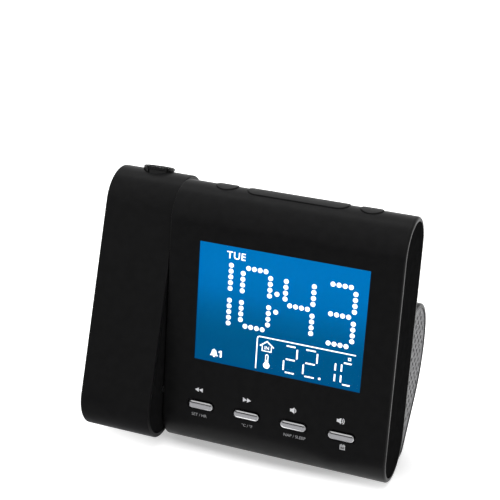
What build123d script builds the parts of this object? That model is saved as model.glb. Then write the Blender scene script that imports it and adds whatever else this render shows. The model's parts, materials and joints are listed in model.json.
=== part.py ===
from build123d import *
import os
from math import cos, radians, sin, sqrt, tan

# Projection alarm clock: a leaning, oval-edged clock body with a speaker hump behind it,
# and a projector arm of the same profile hinged to its left end.
# Millimetres. +X is the user's right, +Y is back, +Z is up. The origin is on the table,
# under the middle of the resting clock's outline.

# ---------------------------------------------------------------- driving dimensions
# Casing
body_width = 114.4          # clock body, end to end
body_radius = 17.0          # half the body's thickness, and its rounded top and bottom
body_spacing = 98.85        # between the centres of the two rounded edges
body_lean = 9.35            # degrees that the body leans back
stand_off = 0.6             # rubber feet showing under the casing
wall = 2.2                  # moulded wall
rim_round = 1.3             # rounding of the body's right rim
inner_round = 0.6           # rounding of the rims where body and arm meet
split_depth = 9.0           # parting line of the two body shells, behind the middle
seam_gap = 0.12             # open line between the two shells
lip_length = 3.0            # tongue of the rear housing inside the front shell
lip_thick = 1.0
fit_gap = 0.08              # clearance of fixed pieces that slip into each other
moving_gap = 0.3            # clearance between pieces that move apart
panel_thick = 2.0           # end panels
panel_recess = 0.35         # end panels sit this far inside the rims
# Speaker hump
hump_inset = 1.2            # hump ends inside the body's ends
hump_depth = 54.8           # from the lower round's centre to the hump's back
roof_start = 64.0           # up the body's back to where the hump's roof begins
roof_slope = 8.0            # degrees down towards the back
hump_corner = 22.0          # radius between roof and back
hump_sweep_radius = 50.0    # large radius of the back
hump_sweep = 45.0           # degrees of that radius
base_round = 5.0
hump_round = 0.9            # rounding of the hump's end edges
# Projector arm
arm_width = 37.0
arm_spacing = 97.1          # between the centres of the arm's two rounded edges
arm_gap = 0.3               # between arm and body
arm_swing = 13.3            # degrees forward of the body, as it stands
arm_half_turn = 90.0        # swing each way from in line with the body
pivot_drop = 23.45          # pivot below the upper round's centre
arm_head = 24.3             # arm's upper round centre above the pivot
arm_round = 1.1             # rounding of the arm's outer rim
# Display
window_side = 15.3          # casing beside the window
window_low = 32.25          # window's lower edge above the lower round's centre
window_drop = 6.3           # window's upper edge below the upper round's centre
window_recess = 0.9
window_lip = 1.5            # how far the window plate reaches behind the opening's edge
window_thick = 1.2
lcd_margin = 2.1            # display glass beyond the opening
lcd_thick = 2.6
guide_thick = 4.0
led_strip_height = 2.4
frame_wall = 3.8            # display frame above and below the glass
board_thick = 1.6
# Front keys
key_count = 4
key_margin = 21.2           # from the body's ends to the end keys' centres
key_shift = -1.0            # row's centre off the body's centre
key_height_up = 8.6         # above the lower round's centre
key_length = 12.8
key_height = 3.8
key_proud = 1.1
key_well = 0.9              # width of the moat around a key
key_well_depth = 0.7
key_travel = 0.8
key_gap = 0.25              # clearance of a key in its opening
key_flange = 1.1            # flange beyond the opening, and its thickness
key_stem = 1.4              # stem behind the flange
key_round = 0.35            # rounding of the caps' edges
key_crown = 5.0             # radius of a front key's bulging face
flange_clear = 0.2          # resting flange to the casing
press_clear = 0.2           # left under a key that is fully pressed
# Top keys
top_margin = 21.5           # from the body's ends to the round buttons' centres
top_shift = -0.5
top_back = 1.0              # keys' middles behind the body's middle
top_stem = 3.0              # stem below the crown of the curved flange
snooze_gap = 5.3            # casing between the snooze bar and the round buttons
snooze_depth = 11.3
snooze_corner = 5.0
button_diameter = 10.9
top_proud = 0.5
top_travel = 0.5
# Key switches
switch_side = 6.0
switch_height = 3.4
plunger_radius = 1.7
plunger_gap = 0.15
plunger_reach = 1.2         # plunger inside its switch
stem_radius = 1.4
# Fasteners
post_radius = 2.4
post_side = 0.8             # upper posts to the end panels
post_clear = 3.0            # upper posts above the pivot's hub
lower_post_in = 22.4        # lower posts inside the upper ones
lower_post_rise = 2.6       # above the middle between the keys and the display
screw_radius = 1.2
screw_head_radius = 2.3
screw_head = 1.6
screw_length = 10.0
screw_gap = 0.05
screw_floor = 3.0           # plastic under a housing screw's head
well_gap = 0.5              # round a screw's head
well_wall = 1.2
board_screw_radius = 0.9
board_screw_length = 5.0
arm_screw_length = 8.0
cross_width = 0.7           # cross recess of a screw's head
cross_depth = 0.8
# Circuit boards
key_board_height = 14.0
top_board_depth = 18.0
key_post_radius = 2.0       # posts that carry the key board and the top board
capacitor_radius = 3.0
capacitor_height = 7.0
connector_gap = 0.7         # projector lead's connector to the board screw's head
connector_width = 6.0
cable_radius = 1.0
cable_bend = 5.5
cable_entry = 2.5           # lead inside its connector
# Pivot
stop_rim = 1.0              # end panel left outside the stop slot
stop_peg_radius = 1.3
stop_clear = 0.3
stop_reach = 1.4            # peg into the body's end panel
hub_clear = 1.6             # end panel left between the stop slot and the hub
hub_wall = 2.2
hub_length = 3.4
shaft_wall = 2.0
shaft_running_gap = 0.05
shaft_flange_reach = 4.0    # flange beyond the shaft
shaft_flange = 1.6
washer_thick = 1.0
clip_thick = 1.2
clip_depth = 0.8            # groove in the shaft
clip_width = 1.6            # clip standing out of its groove
shaft_tail = 0.3            # shaft beyond the clip
arm_post_drop = 24.0        # upper screw post below the pivot
arm_post_rise = 7.5         # lower screw post above the arm's lower round's centre
arm_post_radius = 3.0
# Projector
ring_wall = 1.4
ring_taper = 0.3            # ring is this much slimmer where it enters the arm
ring_proud = 1.7
ring_gap = 0.35
ring_flange = 1.2
ring_round = 0.35
ring_dish = 0.9             # sloping inner edge of the ring's top
ring_grooves = 36
groove_radius = 0.3
carrier_radius = 6.2
carrier_wall = 0.9
carrier_gap = 0.08
carrier_drop = 1.1          # carrier's rim below the ring's top
carrier_length = 14.0
focus_travel = 1.0          # lens moves this far each way
focus_half_turn = 60.0      # degrees of the ring for that
tube_wall = 1.6
key_rib = 0.8               # ribs that keep the carrier from turning
rib_width = 1.6
rib_length = 5.4
lens_edge = 1.2
lens_dome = 1.3
lens_drop = 0.6             # lens edge below the carrier's rim
seat_width = 0.8            # ledges that the lenses and the display sit on
mask_thick = 1.1
mask_depth = 14.0           # from the tube's top to the small display
projector_length = 23.5     # tube from the focus ring down to the lamp board
lamp_radius = 2.5
lamp_height = 3.0
lamp_board_depth = 16.0
bracket_thick = 2.0
bracket_width = 14.0
peg_radius = 1.2
peg_length = 3.0
peg_spread = 8.0
# Speaker
speaker_up = 28.0           # speaker axis above the lower round's centre
speaker_clear = 1.1         # speaker to the body's back and to the hump's wall
speaker_rim = 1.6
basket_depth = 7.0
basket_wall = 1.0
rim_width = 2.0
magnet_radius = 10.0
magnet_depth = 6.0
dome_radius = 4.0
cone_thick = 0.5
grille_pitch = 4.6
grille_hole_radius = 1.2
grille_margin = 2.6
# Supply
jack_side = 9.0
jack_cradle = 1.2           # ribs round the jack
jack_face = 0.9             # jack's mouth inside the hump's rearmost line
jack_nose = 3.2
jack_length = 13.0
jack_nose_radius = 3.9
jack_bore_radius = 2.8
jack_pin_radius = 1.0
jack_pin_length = 8.0
jack_pin_inset = 1.0
jack_from_end = 12.0        # jack's axis inside the hump's left end
jack_clear = 2.8            # jack's cradle below the battery bay
cell_radius = 5.25
cell_length = 44.5
cell_gap = 0.25
cell_web = 1.0              # between the two cells
cell_clear = 0.6            # cells to the door
cell_button_radius = 1.75
cell_button = 1.0
cell_play = 0.5
contact_thick = 0.4
contact_spring = 3.0        # pressed length of the coil contacts
spring_radius = 3.7
spring_wire = 0.8
bay_tilt = 22.0             # degrees that the battery door leans back
bay_from_end = 12.0         # bay inside the hump's left end
door_ledge = 0.5            # door resting on each wall of the bay
door_thin = 0.2             # door is thinner than the wall it closes
bay_wall = 1.6
bay_height = 22.0
finger_notch = 1.5
# Aerial lead's way out
grommet_from_end = 27.0     # inside the body's left end
grommet_up = 78.0
grommet_radius = 2.4
grommet_hole_radius = 0.9
grommet_proud = 0.3
# Feet
foot_length = 14.0
foot_depth = 5.0
foot_seat = 1.0
foot_margin = 15.0          # from the body's ends to the feet's middles
front_foot_shift = -1.0
rear_foot_back = 18.0

# ---------------------------------------------------------------- worked-out places
lean = radians(body_lean)
up = Vector(0, sin(lean), cos(lean))
back = Vector(0, cos(lean), -sin(lean))
arm_lean = radians(body_lean + arm_swing)
arm_up = Vector(0, sin(arm_lean), cos(arm_lean))
arm_back = Vector(0, cos(arm_lean), -sin(arm_lean))

total_width = arm_width + arm_gap + body_width
arm_left = -total_width / 2
arm_right = arm_left + arm_width
arm_mid = arm_left + arm_width / 2
body_left = arm_right + arm_gap
body_right = total_width / 2
body_mid = (body_left + body_right) / 2

pivot_up = body_spacing - pivot_drop
arm_tail = arm_spacing - arm_head
arm_reach = body_radius + arm_tail * sin(arm_lean) - pivot_up * sin(lean)
front_reach = max(body_radius, arm_reach)
body_y = (front_reach - hump_depth) / 2
body_z = stand_off + body_radius
pivot_y = pivot_up * sin(lean)
pivot_z = pivot_up * cos(lean)

hump_left = body_left + hump_inset
hump_right = body_right - hump_inset
hump_width = hump_right - hump_left
inner_radius = body_radius - wall
wall_front = -inner_radius          # depth of the front wall's inner face
inside_half = body_width / 2 - panel_recess - panel_thick - fit_gap
foot_spread = body_width - 2 * foot_margin


def section(x):
    """Upright plane across the clock at x; its origin is the lower round's centre."""
    return Plane(origin=(x, body_y, body_z), x_dir=(0, 1, 0), z_dir=(1, 0, 0))


def facing(depth, middle=0.0):
    """Plane along the body, facing the user, at a depth behind the body's middle."""
    place = Vector(body_mid + middle, body_y, body_z) + back * depth
    return Plane(origin=place, x_dir=(1, 0, 0), z_dir=back * -1)


def level(height, middle=0.0):
    """Plane square to the body's height, at a height above the lower round's centre."""
    place = Vector(body_mid + middle, body_y, body_z) + up * height
    return Plane(origin=place, x_dir=(1, 0, 0), z_dir=up)


def arm_level(height, x):
    """Plane square to the arm, at a height above the pivot."""
    place = Vector(x, body_y + pivot_y, body_z + pivot_z) + arm_up * height
    return Plane(origin=place, x_dir=(1, 0, 0), z_dir=arm_up)


def arm_side(x):
    """Upright plane across the arm at x, from the pivot: local X is depth, local Y height."""
    place = Vector(x, body_y + pivot_y, body_z + pivot_z)
    return Plane(origin=place, x_dir=arm_back, z_dir=(1, 0, 0))


def arm_profile_plane(x):
    """Plane through the lens axis: local X is the radius, local Y the height."""
    place = Vector(x, body_y + pivot_y, body_z + pivot_z)
    return Plane(origin=place, x_dir=(1, 0, 0), z_dir=arm_back * -1)


def body_oval(radius, mode=Mode.ADD):
    """The body's side view: two half rounds and two flat faces."""
    with Locations((body_spacing / 2 * sin(lean), body_spacing / 2 * cos(lean))):
        SlotCenterToCenter(body_spacing, 2 * radius, rotation=90 - body_lean, mode=mode)


def arm_oval(radius):
    """The arm's side view, an oval of the body's thickness hung on the pivot."""
    middle = arm_head - arm_spacing / 2
    place = (pivot_y + middle * sin(arm_lean), pivot_z + middle * cos(arm_lean))
    with Locations(place):
        SlotCenterToCenter(arm_spacing, 2 * radius, rotation=90 - body_lean - arm_swing)


# Hump outline, in the section plane
slope = radians(roof_slope)
turn = radians(hump_sweep)
roof_foot = Vector(
    roof_start * sin(lean) + body_radius * cos(lean),
    roof_start * cos(lean) - body_radius * sin(lean),
)
corner_y = hump_depth - hump_corner
roof_line = roof_foot.X * sin(slope) + roof_foot.Y * cos(slope)
corner_z = (roof_line - hump_corner - corner_y * sin(slope)) / cos(slope)
corner_centre = Vector(corner_y, corner_z)
sweep_centre = Vector(hump_depth - hump_sweep_radius, corner_z)
roof_end = corner_centre + Vector(sin(slope), cos(slope)) * hump_corner
sweep_end = sweep_centre + Vector(cos(turn), -sin(turn)) * hump_sweep_radius
base_end = Vector(sweep_end.X - (sweep_end.Y + body_radius) * tan(turn), -body_radius)
roof_inside = roof_foot - Vector(cos(slope), -sin(slope)) * body_radius


def hump_outline(inset=0.0, mode=Mode.ADD):
    """The hump's side view, drawn shut inside the body, or the same shape inset."""
    with BuildSketch(Plane.XY, mode=Mode.PRIVATE) as shape:
        with BuildLine():
            Line(roof_inside, roof_end)
            CenterArc(corner_centre, hump_corner, 90 - roof_slope, roof_slope - 90)
            CenterArc(sweep_centre, hump_sweep_radius, 0, -hump_sweep)
            Line(sweep_end, base_end)
            Line(base_end, (0, -body_radius))
            Line((0, -body_radius), roof_inside)
        make_face()
        fillet(shape.vertices().sort_by_distance(base_end)[0], radius=base_round)
        if inset:
            offset(amount=-inset, kind=Kind.INTERSECTION, mode=Mode.REPLACE)
    add(shape.sketch, mode=mode)


def cross_recess(head_radius):
    """The cross of a screw's head, two thirds as long as the head is wide."""
    Rectangle(head_radius * 4 / 3, cross_width)
    Rectangle(cross_width, head_radius * 4 / 3)


def finish(part, name):
    """Name a finished piece and write it."""
    part.part.label = name
    export_step(part.part, "parts/" + name + ".step")


os.makedirs("parts", exist_ok=True)

# Display, boards and housing screws
window_width = body_width - 2 * window_side
window_height = body_spacing - window_drop - window_low
window_height_up = window_low + window_height / 2
window_front = -(body_radius - window_recess)
lcd_width = window_width + 2 * lcd_margin
lcd_height = window_height + 2 * lcd_margin
lcd_front = wall_front + fit_gap
guide_front = lcd_front + lcd_thick
frame_back = guide_front + guide_thick + fit_gap
well_radius = screw_head_radius + well_gap
upper_post_x = inside_half - well_radius - well_wall / 2 - post_side
frame_width = 2 * (upper_post_x - post_radius - fit_gap)
frame_height = lcd_height + 2 * (frame_wall + fit_gap)
board_back = frame_back + board_thick
board_screw_x = (frame_width / 2 + lcd_width / 2 + fit_gap) / 2
board_screw_up = lcd_height / 2 - frame_wall
board_head_radius = 2 * board_screw_radius
stop_radius = inner_radius - fit_gap - stop_rim - stop_peg_radius - stop_clear
hub_radius = stop_radius - stop_peg_radius - stop_clear - hub_clear
upper_post_up = pivot_up + hub_radius + post_radius + post_clear
lower_post_x = upper_post_x - lower_post_in
frame_low = window_height_up - frame_height / 2
lower_post_up = (key_height_up + frame_low) / 2 + lower_post_rise
post_places = [
    (upper_post_x, upper_post_up),
    (-upper_post_x, upper_post_up),
    (lower_post_x, lower_post_up),
    (-lower_post_x, lower_post_up),
]
rear_post_end = split_depth + seam_gap
screw_seat = rear_post_end + screw_floor

# Front keys and their board
key_pitch = (body_width - 2 * key_margin) / (key_count - 1)
key_places = [key_shift + (i - (key_count - 1) / 2) * key_pitch for i in range(key_count)]
key_flange_back = wall_front + flange_clear + key_flange
key_stem_end = key_flange_back + key_stem
key_switch_top = key_stem_end + key_travel + press_clear
key_board_front = key_switch_top + switch_height
key_post_places = [(x + key_pitch / 2, key_height_up) for x in key_places[:-1:2]]

# Top keys and their board
top_pitch = body_width / 2 - top_margin
snooze_length = 2 * (top_pitch - snooze_gap) - button_diameter
top_inner = inner_radius - flange_clear
top_flange_low = top_inner - key_flange
top_stem_end = body_spacing + top_flange_low - top_stem
top_switch_top = top_stem_end - top_travel - press_clear
top_board_top = top_switch_top - switch_height
top_flange_x = top_pitch + button_diameter / 2 + key_gap + key_flange
top_post_x = top_flange_x + moving_gap + key_post_radius
top_board_length = 2 * (top_post_x + key_post_radius)

# ---------------------------------------------------------------- clock body casing
grommet_x = grommet_from_end - body_width / 2


def top_footprint(name, grow=0.0):
    """Plan of one top key on a level plane through the upper round's centre."""
    with Locations((0, top_back)):
        if name == "snooze_bar":
            length = snooze_length + 2 * grow
            depth = snooze_depth + 2 * grow
            RectangleRounded(length, depth, snooze_corner + grow)
        else:
            Circle(button_diameter / 2 + grow)


top_keys = {
    "projector_button": top_shift - top_pitch,
    "snooze_bar": top_shift,
    "alarm_button": top_shift + top_pitch,
}

with BuildPart() as front_feet:
    with BuildSketch(Plane.XY):
        with Locations((body_mid, body_y + front_foot_shift)):
            with GridLocations(foot_spread, 0, 2, 1):
                Rectangle(foot_length, foot_depth)
    extrude(amount=stand_off + foot_seat)
finish(front_feet, "front_feet")

with BuildPart() as rear_feet:
    with BuildSketch(Plane.XY):
        with Locations((body_mid, body_y + rear_foot_back)):
            with GridLocations(foot_spread, 0, 2, 1):
                Rectangle(foot_length, foot_depth)
    extrude(amount=stand_off + foot_seat)
finish(rear_feet, "rear_feet")

with BuildPart() as front_shell:
    with BuildSketch(section(body_left)):
        body_oval(body_radius)
    extrude(amount=body_width)
    ends = front_shell.faces().sort_by(Axis.X)
    fillet(ends[0].edges(), radius=inner_round)
    ends = front_shell.faces().sort_by(Axis.X)
    fillet(ends[-1].edges(), radius=rim_round)
    with BuildSketch(section(body_left)):
        body_oval(inner_radius)
    extrude(amount=body_width, mode=Mode.SUBTRACT)
    split(bisect_by=facing(split_depth), keep=Keep.TOP)
    # display opening with its rebate
    with BuildSketch(facing(0)):
        with Locations((0, window_height_up)):
            Rectangle(window_width, window_height)
    extrude(amount=2 * body_radius, mode=Mode.SUBTRACT)
    with BuildSketch(facing(window_front)):
        with Locations((0, window_height_up)):
            Rectangle(
                window_width + 2 * (window_lip + fit_gap),
                window_height + 2 * (window_lip + fit_gap),
            )
    extrude(amount=-wall, mode=Mode.SUBTRACT)
    # moats and openings of the front keys
    for x in key_places:
        with BuildSketch(facing(-(body_radius - key_well_depth))):
            with Locations((x, key_height_up)):
                SlotOverall(key_length + 2 * key_well, key_height + 2 * key_well)
        extrude(amount=body_radius, mode=Mode.SUBTRACT)
        with BuildSketch(facing(0)):
            with Locations((x, key_height_up)):
                SlotOverall(key_length + 2 * key_gap, key_height + 2 * key_gap)
        extrude(amount=body_radius, mode=Mode.SUBTRACT)
    # openings of the top keys
    for name, x in top_keys.items():
        with BuildSketch(level(body_spacing, x)):
            top_footprint(name, key_gap)
        extrude(amount=2 * body_radius, mode=Mode.SUBTRACT)
    # posts for the housing screws, the key board and the top board
    with BuildSketch(facing(split_depth)):
        with Locations(*post_places):
            Circle(post_radius)
    extrude(amount=split_depth + inner_radius + wall / 4)
    with BuildSketch(facing(split_depth)):
        with Locations(*post_places):
            Circle(screw_radius + screw_gap)
    extrude(amount=screw_length, mode=Mode.SUBTRACT)
    with BuildSketch(facing(key_board_front)):
        with Locations(*key_post_places):
            Circle(key_post_radius)
    extrude(amount=key_board_front + inner_radius + wall / 4)
    with BuildSketch(level(top_board_top, top_shift)):
        with Locations((top_post_x, top_back), (-top_post_x, top_back)):
            Circle(key_post_radius)
    extrude(amount=body_spacing + inner_radius + wall / 4 - top_board_top)
    add(front_feet.part, mode=Mode.SUBTRACT)
finish(front_shell, "front_shell")

with BuildPart() as hump_block:
    with BuildSketch(section(hump_left)):
        hump_outline()
    extrude(amount=hump_width)
    ends = hump_block.faces().sort_by(Axis.X)
    fillet(ends[0].edges() + ends[-1].edges(), radius=hump_round)

# Battery bay frame: its normal points out through the middle of the door
cell_pitch = 2 * cell_radius + cell_web
cell_ring = hump_corner - wall - door_thin - cell_radius - cell_gap - cell_clear
cell_rise = sqrt(cell_ring**2 - (cell_pitch / 2) ** 2)
door_way = Vector(sin(radians(bay_tilt)), cos(radians(bay_tilt)))
door_across = Vector(door_way.Y, -door_way.X)
door_out = Vector(0, door_way.X, door_way.Y)
bay_centre = corner_centre + door_way * cell_rise
channel_side = 2 * (cell_radius + cell_gap)
channel_length = cell_length + cell_play + contact_spring + 2 * contact_thick
bay_depth = cell_pitch + channel_side + 2 * bay_wall
bay_length = channel_length + 2 * bay_wall
door_depth = cell_pitch + channel_side + 2 * door_ledge
door_length = channel_length + 2 * door_ledge
bay_start = hump_left + bay_from_end
bay_mid = bay_start + bay_length / 2
bay_floor = bay_centre - door_way * (channel_side / 2 + bay_wall)


def bay_plane():
    """Plane square to the door's way out, level with the cells' axes."""
    place = Vector(bay_mid, body_y + bay_centre.X, body_z + bay_centre.Y)
    return Plane(origin=place, x_dir=(1, 0, 0), z_dir=door_out)


# The jack sits under the lowest corner of the battery bay
bay_corner = bay_floor + door_across * (bay_depth / 2)
jack_up = bay_corner.Y - jack_clear - jack_cradle - jack_side / 2
jack_place = Vector(hump_left + jack_from_end, body_y + hump_depth, body_z + jack_up)


def jack_plane(inside):
    """Plane facing backwards, some way inside the hump's rearmost line."""
    return Plane(
        origin=jack_place - Vector(0, inside, 0), x_dir=(-1, 0, 0), z_dir=(0, 1, 0)
    )


with BuildPart() as wells:
    with BuildSketch(facing(rear_post_end)):
        with Locations(*post_places[2:]):
            Circle(well_radius + well_wall)
    extrude(amount=-2 * hump_depth)
    add(hump_block.part, mode=Mode.INTERSECT)

with BuildPart() as tongue:
    tongue_start = body_left + panel_recess + panel_thick + fit_gap
    tongue_width = body_width - 2 * (panel_recess + panel_thick + fit_gap)
    with BuildSketch(section(tongue_start)):
        body_oval(inner_radius + wall / 4)
    extrude(amount=tongue_width)
    split(bisect_by=facing(rear_post_end), keep=Keep.BOTTOM)
    with BuildSketch(section(tongue_start)):
        body_oval(inner_radius - fit_gap)
    extrude(amount=tongue_width)
    with BuildSketch(section(tongue_start)):
        body_oval(inner_radius - fit_gap - lip_thick)
    extrude(amount=tongue_width, mode=Mode.SUBTRACT)
    split(bisect_by=facing(split_depth + lip_length), keep=Keep.TOP)
    split(bisect_by=facing(split_depth - lip_length), keep=Keep.BOTTOM)
    for name, x in top_keys.items():
        with BuildSketch(level(body_spacing, x)):
            top_footprint(name, key_gap + key_flange + moving_gap)
        extrude(amount=body_radius, mode=Mode.SUBTRACT)

with BuildPart() as rear_housing:
    with BuildSketch(section(body_left)):
        body_oval(body_radius)
    extrude(amount=body_width)
    ends = rear_housing.faces().sort_by(Axis.X)
    fillet(ends[0].edges(), radius=inner_round)
    ends = rear_housing.faces().sort_by(Axis.X)
    fillet(ends[-1].edges(), radius=rim_round)
    add(hump_block.part)
    with BuildSketch(section(body_left)):
        body_oval(inner_radius)
    extrude(amount=body_width, mode=Mode.SUBTRACT)
    # hump's own hollow, open at its right end for the speaker grille
    with BuildSketch(section(hump_left + wall)):
        hump_outline(wall)
        body_oval(body_radius, mode=Mode.SUBTRACT)
    extrude(amount=hump_width, mode=Mode.SUBTRACT)
    # way through from the body into the hump
    with BuildSketch(section(hump_left + 3 * wall)):
        hump_outline(2 * wall)
    extrude(amount=hump_width - 6 * wall, mode=Mode.SUBTRACT)
    split(bisect_by=facing(rear_post_end), keep=Keep.BOTTOM)
    add(tongue.part)
    # screw posts: short ones high up, and deep wells through the hump
    with BuildSketch(facing(rear_post_end)):
        with Locations(*post_places[:2]):
            Circle(well_radius + well_wall / 2)
    extrude(amount=rear_post_end - inner_radius - wall / 4)
    add(wells.part)
    with BuildSketch(facing(screw_seat)):
        with Locations(*post_places):
            Circle(well_radius)
    extrude(amount=-2 * hump_depth, mode=Mode.SUBTRACT)
    with BuildSketch(facing(0)):
        with Locations(*post_places):
            Circle(screw_radius + screw_gap)
    extrude(amount=-hump_depth / 2, mode=Mode.SUBTRACT)
    # battery opening, supply jack, aerial grommet and feet
    with BuildSketch(bay_plane()):
        Rectangle(door_length + 2 * moving_gap, door_depth + 2 * moving_gap)
    extrude(amount=hump_corner, mode=Mode.SUBTRACT)
    with BuildSketch(jack_plane(jack_face)):
        Circle(jack_nose_radius + fit_gap)
    extrude(amount=jack_face + wall, both=True, mode=Mode.SUBTRACT)
    with BuildSketch(jack_plane((jack_face + jack_nose) / 2)):
        Rectangle(jack_side + 2 * jack_cradle, jack_side + 2 * jack_cradle)
        Rectangle(jack_side + 2 * fit_gap, jack_side + 2 * fit_gap, mode=Mode.SUBTRACT)
    extrude(amount=-jack_length / 2)
    with BuildSketch(facing(body_radius)):
        with Locations((grommet_x, grommet_up)):
            Circle(grommet_radius)
    extrude(amount=2 * wall, both=True, mode=Mode.SUBTRACT)
    add(rear_feet.part, mode=Mode.SUBTRACT)
finish(rear_housing, "rear_housing")

with BuildPart() as right_end_panel:
    with BuildSketch(section(body_right - panel_recess)):
        body_oval(inner_radius - fit_gap)
    extrude(amount=-panel_thick)
finish(right_end_panel, "right_end_panel")

# The stop peg of the arm rides in an arc slot of the left end panel
pivot_spot = (pivot_y, pivot_z)
shaft_radius = hub_radius - hub_wall
with BuildLine() as stop_line:
    CenterArc(
        pivot_spot, stop_radius, 270 - body_lean - arm_half_turn, 2 * arm_half_turn
    )

with BuildPart() as left_end_panel:
    with BuildSketch(section(body_left + panel_recess)):
        body_oval(inner_radius - fit_gap)
    extrude(amount=panel_thick)
    with BuildSketch(section(body_left + panel_recess)):
        with Locations(pivot_spot):
            Circle(hub_radius)
    extrude(amount=panel_thick + hub_length)
    with BuildSketch(section(body_left)):
        with Locations(pivot_spot):
            Circle(shaft_radius + shaft_running_gap)
    extrude(amount=2 * (panel_thick + hub_length), mode=Mode.SUBTRACT)
    with BuildSketch(section(body_left)):
        SlotArc(stop_line.edge(), 2 * (stop_peg_radius + stop_clear))
    extrude(amount=2 * panel_thick, mode=Mode.SUBTRACT)
finish(left_end_panel, "left_end_panel")

# The speaker fills the hump from the body's back to the hump's inner wall
body_back = (speaker_up * sin(lean) + body_radius) / cos(lean)
hump_inside = sweep_centre.X + sqrt(
    (hump_sweep_radius - wall) ** 2 - (sweep_centre.Y - speaker_up) ** 2
)
speaker_back = (hump_inside + body_back) / 2
speaker_radius = (hump_inside - body_back) / 2 - speaker_clear

# Grille holes: a staggered pattern, kept inside a margin
with BuildSketch() as grille_zone:
    hump_outline(wall + grille_margin)
    body_oval(body_radius + grille_margin, mode=Mode.SUBTRACT)
grille_reach = round(hump_depth / grille_pitch)
grille_rows = range(-grille_reach, grille_reach + 1)
grille_places = [
    Vector(
        speaker_back + (column + row % 2 / 2) * grille_pitch,
        speaker_up + row * grille_pitch * sqrt(3) / 2,
    )
    for row in grille_rows
    for column in grille_rows
]
grille_places = [p for p in grille_places if grille_zone.face().is_inside(p)]

with BuildPart() as speaker_grille:
    with BuildSketch(section(hump_right - panel_recess)):
        hump_outline(wall + fit_gap)
        body_oval(body_radius + fit_gap, mode=Mode.SUBTRACT)
    extrude(amount=-panel_thick)
    with BuildSketch(section(hump_right)):
        with Locations(*grille_places):
            Circle(grille_hole_radius)
    extrude(amount=-2 * panel_thick, mode=Mode.SUBTRACT)
finish(speaker_grille, "speaker_grille")

# ---------------------------------------------------------------- display
with BuildPart() as display_window:
    with BuildSketch(facing(window_front)):
        with Locations((0, window_height_up)):
            Rectangle(window_width + 2 * window_lip, window_height + 2 * window_lip)
    extrude(amount=-window_thick)
finish(display_window, "display_window")

with BuildPart() as lcd_panel:
    with BuildSketch(facing(lcd_front)):
        with Locations((0, window_height_up)):
            Rectangle(lcd_width, lcd_height)
    extrude(amount=-lcd_thick)
finish(lcd_panel, "lcd_panel")

with BuildPart() as light_guide:
    with BuildSketch(facing(guide_front)):
        with Locations((0, window_height_up - led_strip_height / 2)):
            Rectangle(lcd_width, lcd_height - led_strip_height)
    extrude(amount=-guide_thick)
finish(light_guide, "light_guide")

with BuildPart() as backlight_strip:
    with BuildSketch(facing(guide_front)):
        with Locations((0, window_height_up + (lcd_height - led_strip_height) / 2)):
            Rectangle(lcd_width, led_strip_height)
    extrude(amount=-guide_thick)
finish(backlight_strip, "backlight_strip")

with BuildPart() as lcd_frame:
    with BuildSketch(facing(wall_front)):
        with Locations((0, window_height_up)):
            Rectangle(frame_width, frame_height)
            Rectangle(
                lcd_width + 2 * fit_gap, lcd_height + 2 * fit_gap, mode=Mode.SUBTRACT
            )
    extrude(amount=wall_front - frame_back)
    with BuildSketch(facing(frame_back)):
        with Locations((0, window_height_up)):
            with GridLocations(2 * board_screw_x, 2 * board_screw_up, 2, 2):
                Circle(board_screw_radius)
    extrude(amount=board_screw_length, mode=Mode.SUBTRACT)
finish(lcd_frame, "lcd_frame")

# ---------------------------------------------------------------- circuit boards
with BuildPart() as main_board:
    with BuildSketch(facing(frame_back)):
        with Locations((0, window_height_up)):
            Rectangle(frame_width, frame_height)
            with GridLocations(2 * board_screw_x, 2 * board_screw_up, 2, 2):
                Circle(board_screw_radius, mode=Mode.SUBTRACT)
    extrude(amount=-board_thick)
finish(main_board, "main_board")

with BuildPart() as board_screws:
    with BuildSketch(facing(board_back)):
        with Locations((0, window_height_up)):
            with GridLocations(2 * board_screw_x, 2 * board_screw_up, 2, 2):
                Circle(board_head_radius)
    extrude(amount=-board_screw_radius)
    with BuildSketch(facing(board_back)):
        with Locations((0, window_height_up)):
            with GridLocations(2 * board_screw_x, 2 * board_screw_up, 2, 2):
                Circle(board_screw_radius)
    extrude(amount=board_screw_length)
    with BuildSketch(facing(board_back + board_screw_radius)):
        with Locations((0, window_height_up)):
            with GridLocations(2 * board_screw_x, 2 * board_screw_up, 2, 2):
                cross_recess(board_head_radius)
    extrude(amount=cross_depth / 2, mode=Mode.SUBTRACT)
finish(board_screws, "board_screws")

# chips and connectors as (x, height, width, depth along the board, thickness)
chips = [
    (-6.0, 70.0, 14.0, 14.0, 2.0),
    (20.0, 74.0, 10.0, 7.0, 1.8),
    (22.0, 50.0, 9.0, 6.0, 1.6),
    (-24.0, 52.0, 7.0, 16.0, 5.0),
    (6.0, 36.0, 18.0, 6.0, 5.5),
]
connector_x = connector_width / 2 + connector_gap + board_head_radius - board_screw_x
connector_left = body_mid + connector_x - connector_width / 2
capacitors = [(34.0, 62.0), (34.0, 50.0), (-8.0, 48.0)]     # (x, height)
with BuildPart() as board_components:
    for x, height, width, length, thick in chips:
        with BuildSketch(facing(board_back)):
            with Locations((x, height)):
                Rectangle(width, length)
        extrude(amount=-thick)
    with BuildSketch(facing(board_back)):
        with Locations(*capacitors):
            Circle(capacitor_radius)
    extrude(amount=-capacitor_height)
    # connector of the projector's lead, on the pivot's line
    with BuildSketch(facing(board_back)):
        with Locations((connector_x, pivot_up)):
            Rectangle(connector_width, connector_width)
    extrude(amount=board_back - 2 * cable_radius)
    with BuildSketch(section(connector_left)):
        with Locations(pivot_spot):
            Circle(cable_radius + shaft_running_gap)
    extrude(amount=cable_entry + moving_gap, mode=Mode.SUBTRACT)
finish(board_components, "board_components")

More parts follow.
